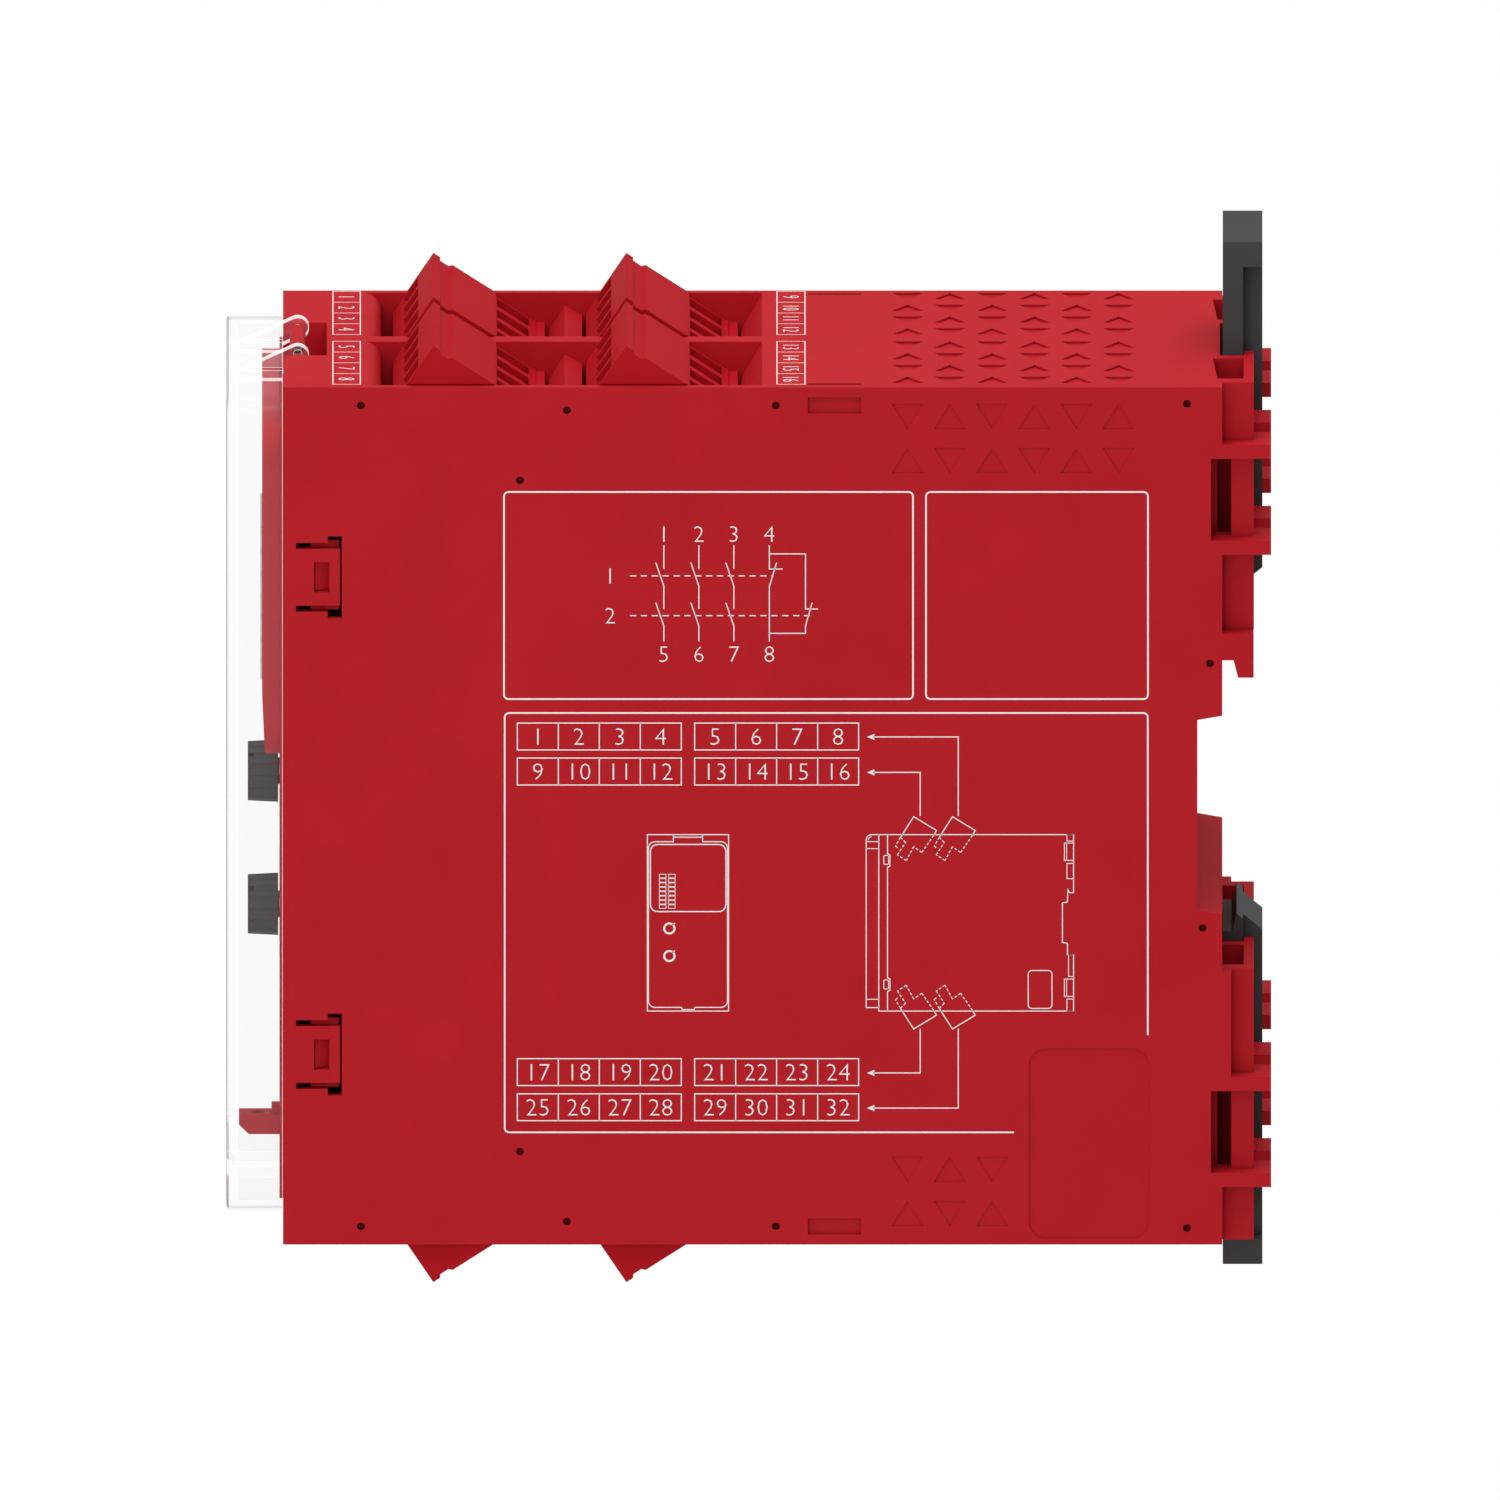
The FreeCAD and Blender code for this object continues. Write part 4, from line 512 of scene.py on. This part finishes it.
    def cells(self, value, u, v, width, height, digits, line=LINE):
        """A row of four cells with running numbers in them; gives the next number."""
        self.line([(u, v), (u + width, v), (u + width, v + height), (u, v + height)], line, closed=True)
        for cell in range(4):
            if cell:
                self.line([(u + width / 4 * cell, v), (u + width / 4 * cell, v + height)], line)
            self.number(value + cell, u + width / 4 * (cell + 0.5), v + height / 2, digits)
        return value + 4

    def done(self, body):
        """Makes the piece, which rides on a body."""
        bmesh.ops.remove_doubles(self.mesh, verts=self.mesh.verts, dist=1e-7)
        bmesh.ops.recalc_face_normals(self.mesh, faces=self.mesh.faces)
        shape = bpy.data.meshes.new(self.name)
        self.mesh.to_mesh(shape)
        self.mesh.free()
        shape.materials.append(INK)
        piece = placed(self.name, shape)
        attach(piece, body)


def side_print(name):
    """Print on the near side: u runs back, v runs up."""
    return Print(name, (SIDE_X, 0, 0), (0, 1, 0), (0, 0, 1))


def side_frames():
    """The three frames that divide the side's print."""
    art = side_print("side_frames")
    art.frame(-80.61, 13.03, -34.71, 36.98)
    art.frame(-33.25, 13.03, -8.34, 36.98)
    lower = arc(-80.03, -36.58, 0.5, 270, 180, 4)
    upper = arc(-80.03, 10.92, 0.5, 180, 90, 4)
    rear = arc(-8.86, 10.92, 0.5, 90, 0, 4)
    art.line([(-23.38, -37.08), *lower, *upper, *rear, (-8.36, -25.83)], FRAME_LINE)
    art.done("housing")


def contact_plan():
    """The contact plan: five poles, each with two opening blades, joined by dashed links."""
    art = side_print("contact_plan")
    for pole in POLES:
        art.line([(pole, 30.82), (pole, 28.07)])
        art.line([(pole - 0.9, 28.81), (pole, 26.11), (pole, 23.45)])
        art.line([(pole - 0.9, 24.17), (pole, 21.51), (pole, 19.70)])
    pole = LAST_POLE
    art.line([(pole, 30.82), (pole, 28.07), (pole + 1.48, 28.07)])
    art.line([(pole + 0.82, 28.81), (pole, 26.05), (pole, 19.70)])
    other = -46.77
    art.line([(pole, 29.82), (other, 29.82), (other, 23.45), (other + 1.4, 23.45)])
    art.line([(other + 0.75, 24.17), (other, 21.51), (other, 20.63), (pole, 20.63)])
    for first, height in ((1, 32.12), (5, 18.24)):
        for number, pole in enumerate((*POLES, LAST_POLE), first):
            art.number(number, pole, height, 1.9)
    for number, (height, end) in enumerate(zip(LINKS, (-50.53, -46.27)), 1):
        art.dashes((-66.47, height), (end, height))
        art.number(number, -68.7, height, 1.9)
    art.done("housing")


def terminal_tables():
    """Four pairs of number tables, one cell per pole, and the arrows that lead to the outline views."""
    art = side_print("terminal_tables")
    value = 1
    for low, high in ((7.14, 10.26), (3.09, 6.21), (-31.67, -28.56), (-35.73, -32.63)):
        for start in (-79.11, -59.21):
            value = art.cells(value, start, low, TABLE_WIDTH, high - low, 2.0)
    for height, turn, end in ((8.65, -29.63, -0.5), (4.55, -33.9, -0.5),
                              (-30.21, -33.9, -25.1), (-34.27, -29.63, -25.1)):
        art.line([(-39.2, height), (turn, height), (turn, end)])
        art.slab([(-39.87, height), (-39.04, height - 0.35), (-39.04, height + 0.35)])
    art.done("housing")


def front_view(art):
    """The small outline drawing of the front."""
    art.line([(-64.52, -23.05), (-55.4, -23.05), (-55.4, -2.65), (-64.52, -2.65)], THIN_LINE, closed=True)
    art.line([(-61.6, -2.65), (-61.6, -3.46), *arc(-63.66, -4.2, 0.74, 90, 180, 4),
              *arc(-63.66, -21.89, 0.74, 180, 270, 4), (-60.7, -22.63), (-60.59, -22.89), (-59.29, -22.89),
              (-59.17, -22.63), *arc(-56.26, -21.89, 0.74, -90, 0, 4), *arc(-56.26, -4.2, 0.74, 0, 90, 4),
              (-58.32, -3.46), (-58.32, -2.65)], THIN_LINE)
    art.line([(-61.6, -2.95), (-58.32, -2.95)], THIN_LINE)
    art.frame(-64.18, -11.55, -55.7, -3.78, 0.8, 0.13)
    for row in range(LENS_ROWS):
        low = -11.18 + row * 0.505
        for start in (-63.17, -62.14):
            art.frame(start, low, start + 0.74, low + 0.42, 0.04, 0.07)
    for height in (-13.5, -16.69):
        art.ring(-62.05, height, 0.58, 0.22)
        art.line([(-61.75, height + 0.38), (-61.42, height + 0.62)], 0.14)


def side_view(art):
    """The small outline drawing of the side, with its cover, clips, feet guides and plugs."""
    art.line([(-38.55, -2.65), (-16.69, -2.65), (-16.69, -9.36), (-17.16, -9.36), (-17.32, -9.01),
              (-17.38, -10.44), (-17.94, -10.56), (-17.94, -15.12), (-17.38, -15.23), (-17.38, -16.53),
              (-16.69, -16.53), (-16.69, -23.05), (-38.55, -23.05)], THIN_LINE, closed=True)
    guides = ((-3.39, -2.65, -17.43), (-5.63, -3.62, -17.72), (-7.74, -5.98, -17.43),
              (-19.05, -16.53, -17.25), (-21.36, -19.35, -17.72), (-23.05, -21.66, -17.43))
    for low, high, start in guides:
        art.line([(-16.69, low), (start, low), (start, high), (-16.69, high)], 0.09)
    for low, high in ((-5.63, -3.62), (-21.36, -19.35)):
        art.line([(-17.47, low), (-17.47, high)], 0.08)
    art.line([(-38.55, -2.65), *arc(-39.33, -3.28, 0.63, 90, 180, 5), (-39.96, -22.65), (-38.55, -22.65)],
             THIN_LINE)
    art.line(arc(-39.33, -3.28, 0.4, 90, 180, 5), 0.08)
    for height in (-3.46, -4.26, -21.69):
        art.line([(-39.96, height), (-38.55, height)], 0.09)
    art.line([(-37.57, -2.65), (-37.57, -4.83), (-37.3, -5.0), (-37.3, -6.3), (-37.57, -6.45),
              (-37.57, -19.2), (-37.3, -19.35), (-37.3, -20.65), (-37.57, -20.8), (-37.57, -23.05)],
             THIN_LINE)
    for low in (-6.1, -20.5):
        art.frame(-37.98, low, -37.45, low + 1.05, 0.15, 0.09)
    for end, height in ((1, -0.57), (-1, -25.13)):
        for peak in (-34.63, -30.28):
            plug = [(peak + u, height + end * v) for u, v in PLUG_SIGN]
            art.line(plug[:4], THIN_LINE)
            for start, stop in zip(plug[3:], plug[4:]):
                art.dashes(start, stop, 0.3, 0.52, 0.1)
    art.frame(-21.78, -22.75, -19.11, -18.36, 0.42, THIN_LINE)


def outline_views():
    """Small outline drawings of the front and of the side."""
    art = side_print("outline_views")
    front_view(art)
    side_view(art)
    art.done("housing")


def terminal_labels(end):
    """The four-cell frames beside the terminal bays on the top or bottom face."""
    top = end == "top"
    flip = 1 if top else -1
    face = HOUSING_TOP if top else HOUSING_BOTTOM
    art = Print(f"{end}_labels", (0, 0, face), (1, 0, 0), (0, flip, 0))
    value = 1 if top else 17
    for row in ((-99.8, -96.73), (-49.97, -46.83)):
        low, high = sorted(flip * edge for edge in row)
        for start in (-22.0, 1.1):
            value = art.cells(value, start, low, LABEL_WIDTH, high - low, 1.9, THIN_LINE)
    art.done("housing")


def panel_marks():
    """Numbers beside the indicators and scales round the selectors, on the front panel."""
    art = Print("bezel_marks", (0, BEZEL_Y, 0), (1, 0, 0), (0, 0, 1))
    for row in range(LENS_ROWS):
        art.number(row + 1, LENS_NUMBERS_X, LENS_FIRST + row * LENS_PITCH, 1.5)
    art.done("housing")
    art = Print("selector_scales", (0, PANEL_Y, 0), (1, 0, 0), (0, 0, 1))
    for height in SELECTORS:
        for step in range(10):
            angle = math.radians(225 - 30 * step)
            u, v = math.cos(angle), math.sin(angle)
            *tick, digit = [(SELECTOR_X + reach * u, height + reach * v) for reach in (4.0, 4.7, 5.9)]
            art.line(tick, 0.2)
            art.number(step, *digit, 1.2)
    art.done("housing")


def pale_floor():
    """White to the camera and in reflections, a plain pale grey to the light it throws back."""
    finish = Finish("pale_floor", Roughness=0.8)
    finish.shader.inputs["Base Color"].default_value = tone(0.75, 0.75, 0.75)
    seen, mirrored, through = (finish.node("LightPath", {}, {}, f"Is {ray} Ray")
                               for ray in ("Camera", "Glossy", "Transmission"))
    glow = finish.node("Emission", {}, {"Color": tone(1.0, 1.0, 1.0), "Strength": 1.0})
    shaded = Value(finish, finish.shader.outputs[0])
    glowing = (seen + mirrored + through).clamped() * 0.99
    mixed = finish.node("MixShader", {}, {0: glowing, 1: shaded, 2: glow})
    finish.tree.links.new(mixed.socket, finish.tree.nodes["Material Output"].inputs["Surface"])
    return finish.material


def set_camera():
    """A camera without perspective, square on the near side and looking down on it."""
    rise = math.radians(VIEW_RISE)
    away = Vector((math.cos(rise), 0.0, math.sin(rise)))
    lens = bpy.data.cameras.new("camera")
    lens.type = "ORTHO"
    lens.ortho_scale = VIEW_WIDTH
    lens.clip_end = 20.0
    camera = placed("camera", lens)
    camera.location = Vector(VIEW_CENTRE) * MM + away * CAMERA_AWAY
    camera.rotation_euler = (-away).to_track_quat("-Z", "Y").to_euler()
    bpy.context.scene.camera = camera


def set_light():
    """Large soft lamps under an even white sky."""
    for name, place, width, power in LAMPS:
        light = bpy.data.lights.new(name, "AREA")
        light.size = width
        light.energy = power
        lamp = placed(name, light)
        lamp.location = place
        lamp.rotation_euler = (Vector(LAMP_AIM) - Vector(place)).to_track_quat("-Z", "Y").to_euler()
    world = bpy.data.worlds.new("studio")
    world.use_nodes = True
    sky = world.node_tree.nodes["Background"].inputs
    sky["Color"].default_value = tone(1.0, 1.0, 1.0)
    sky["Strength"].default_value = SKY_STRENGTH
    bpy.context.scene.world = world
    bpy.context.scene.view_settings.view_transform = "Standard"


def lay_floor():
    """A pale floor far below."""
    ways = ((-1, -1), (1, -1), (1, 1), (-1, 1))
    corners = [(u * FLOOR_HALF, v * FLOOR_HALF, FLOOR_Z) for u, v in ways]
    shape = bpy.data.meshes.new("floor")
    shape.from_pydata(corners, [], [(0, 1, 2, 3)])
    shape.materials.append(pale_floor())
    floor = placed("floor", shape)


set_camera()
set_light()
lay_floor()
side_frames()
contact_plan()
terminal_tables()
outline_views()
terminal_labels("top")
terminal_labels("bottom")
panel_marks()
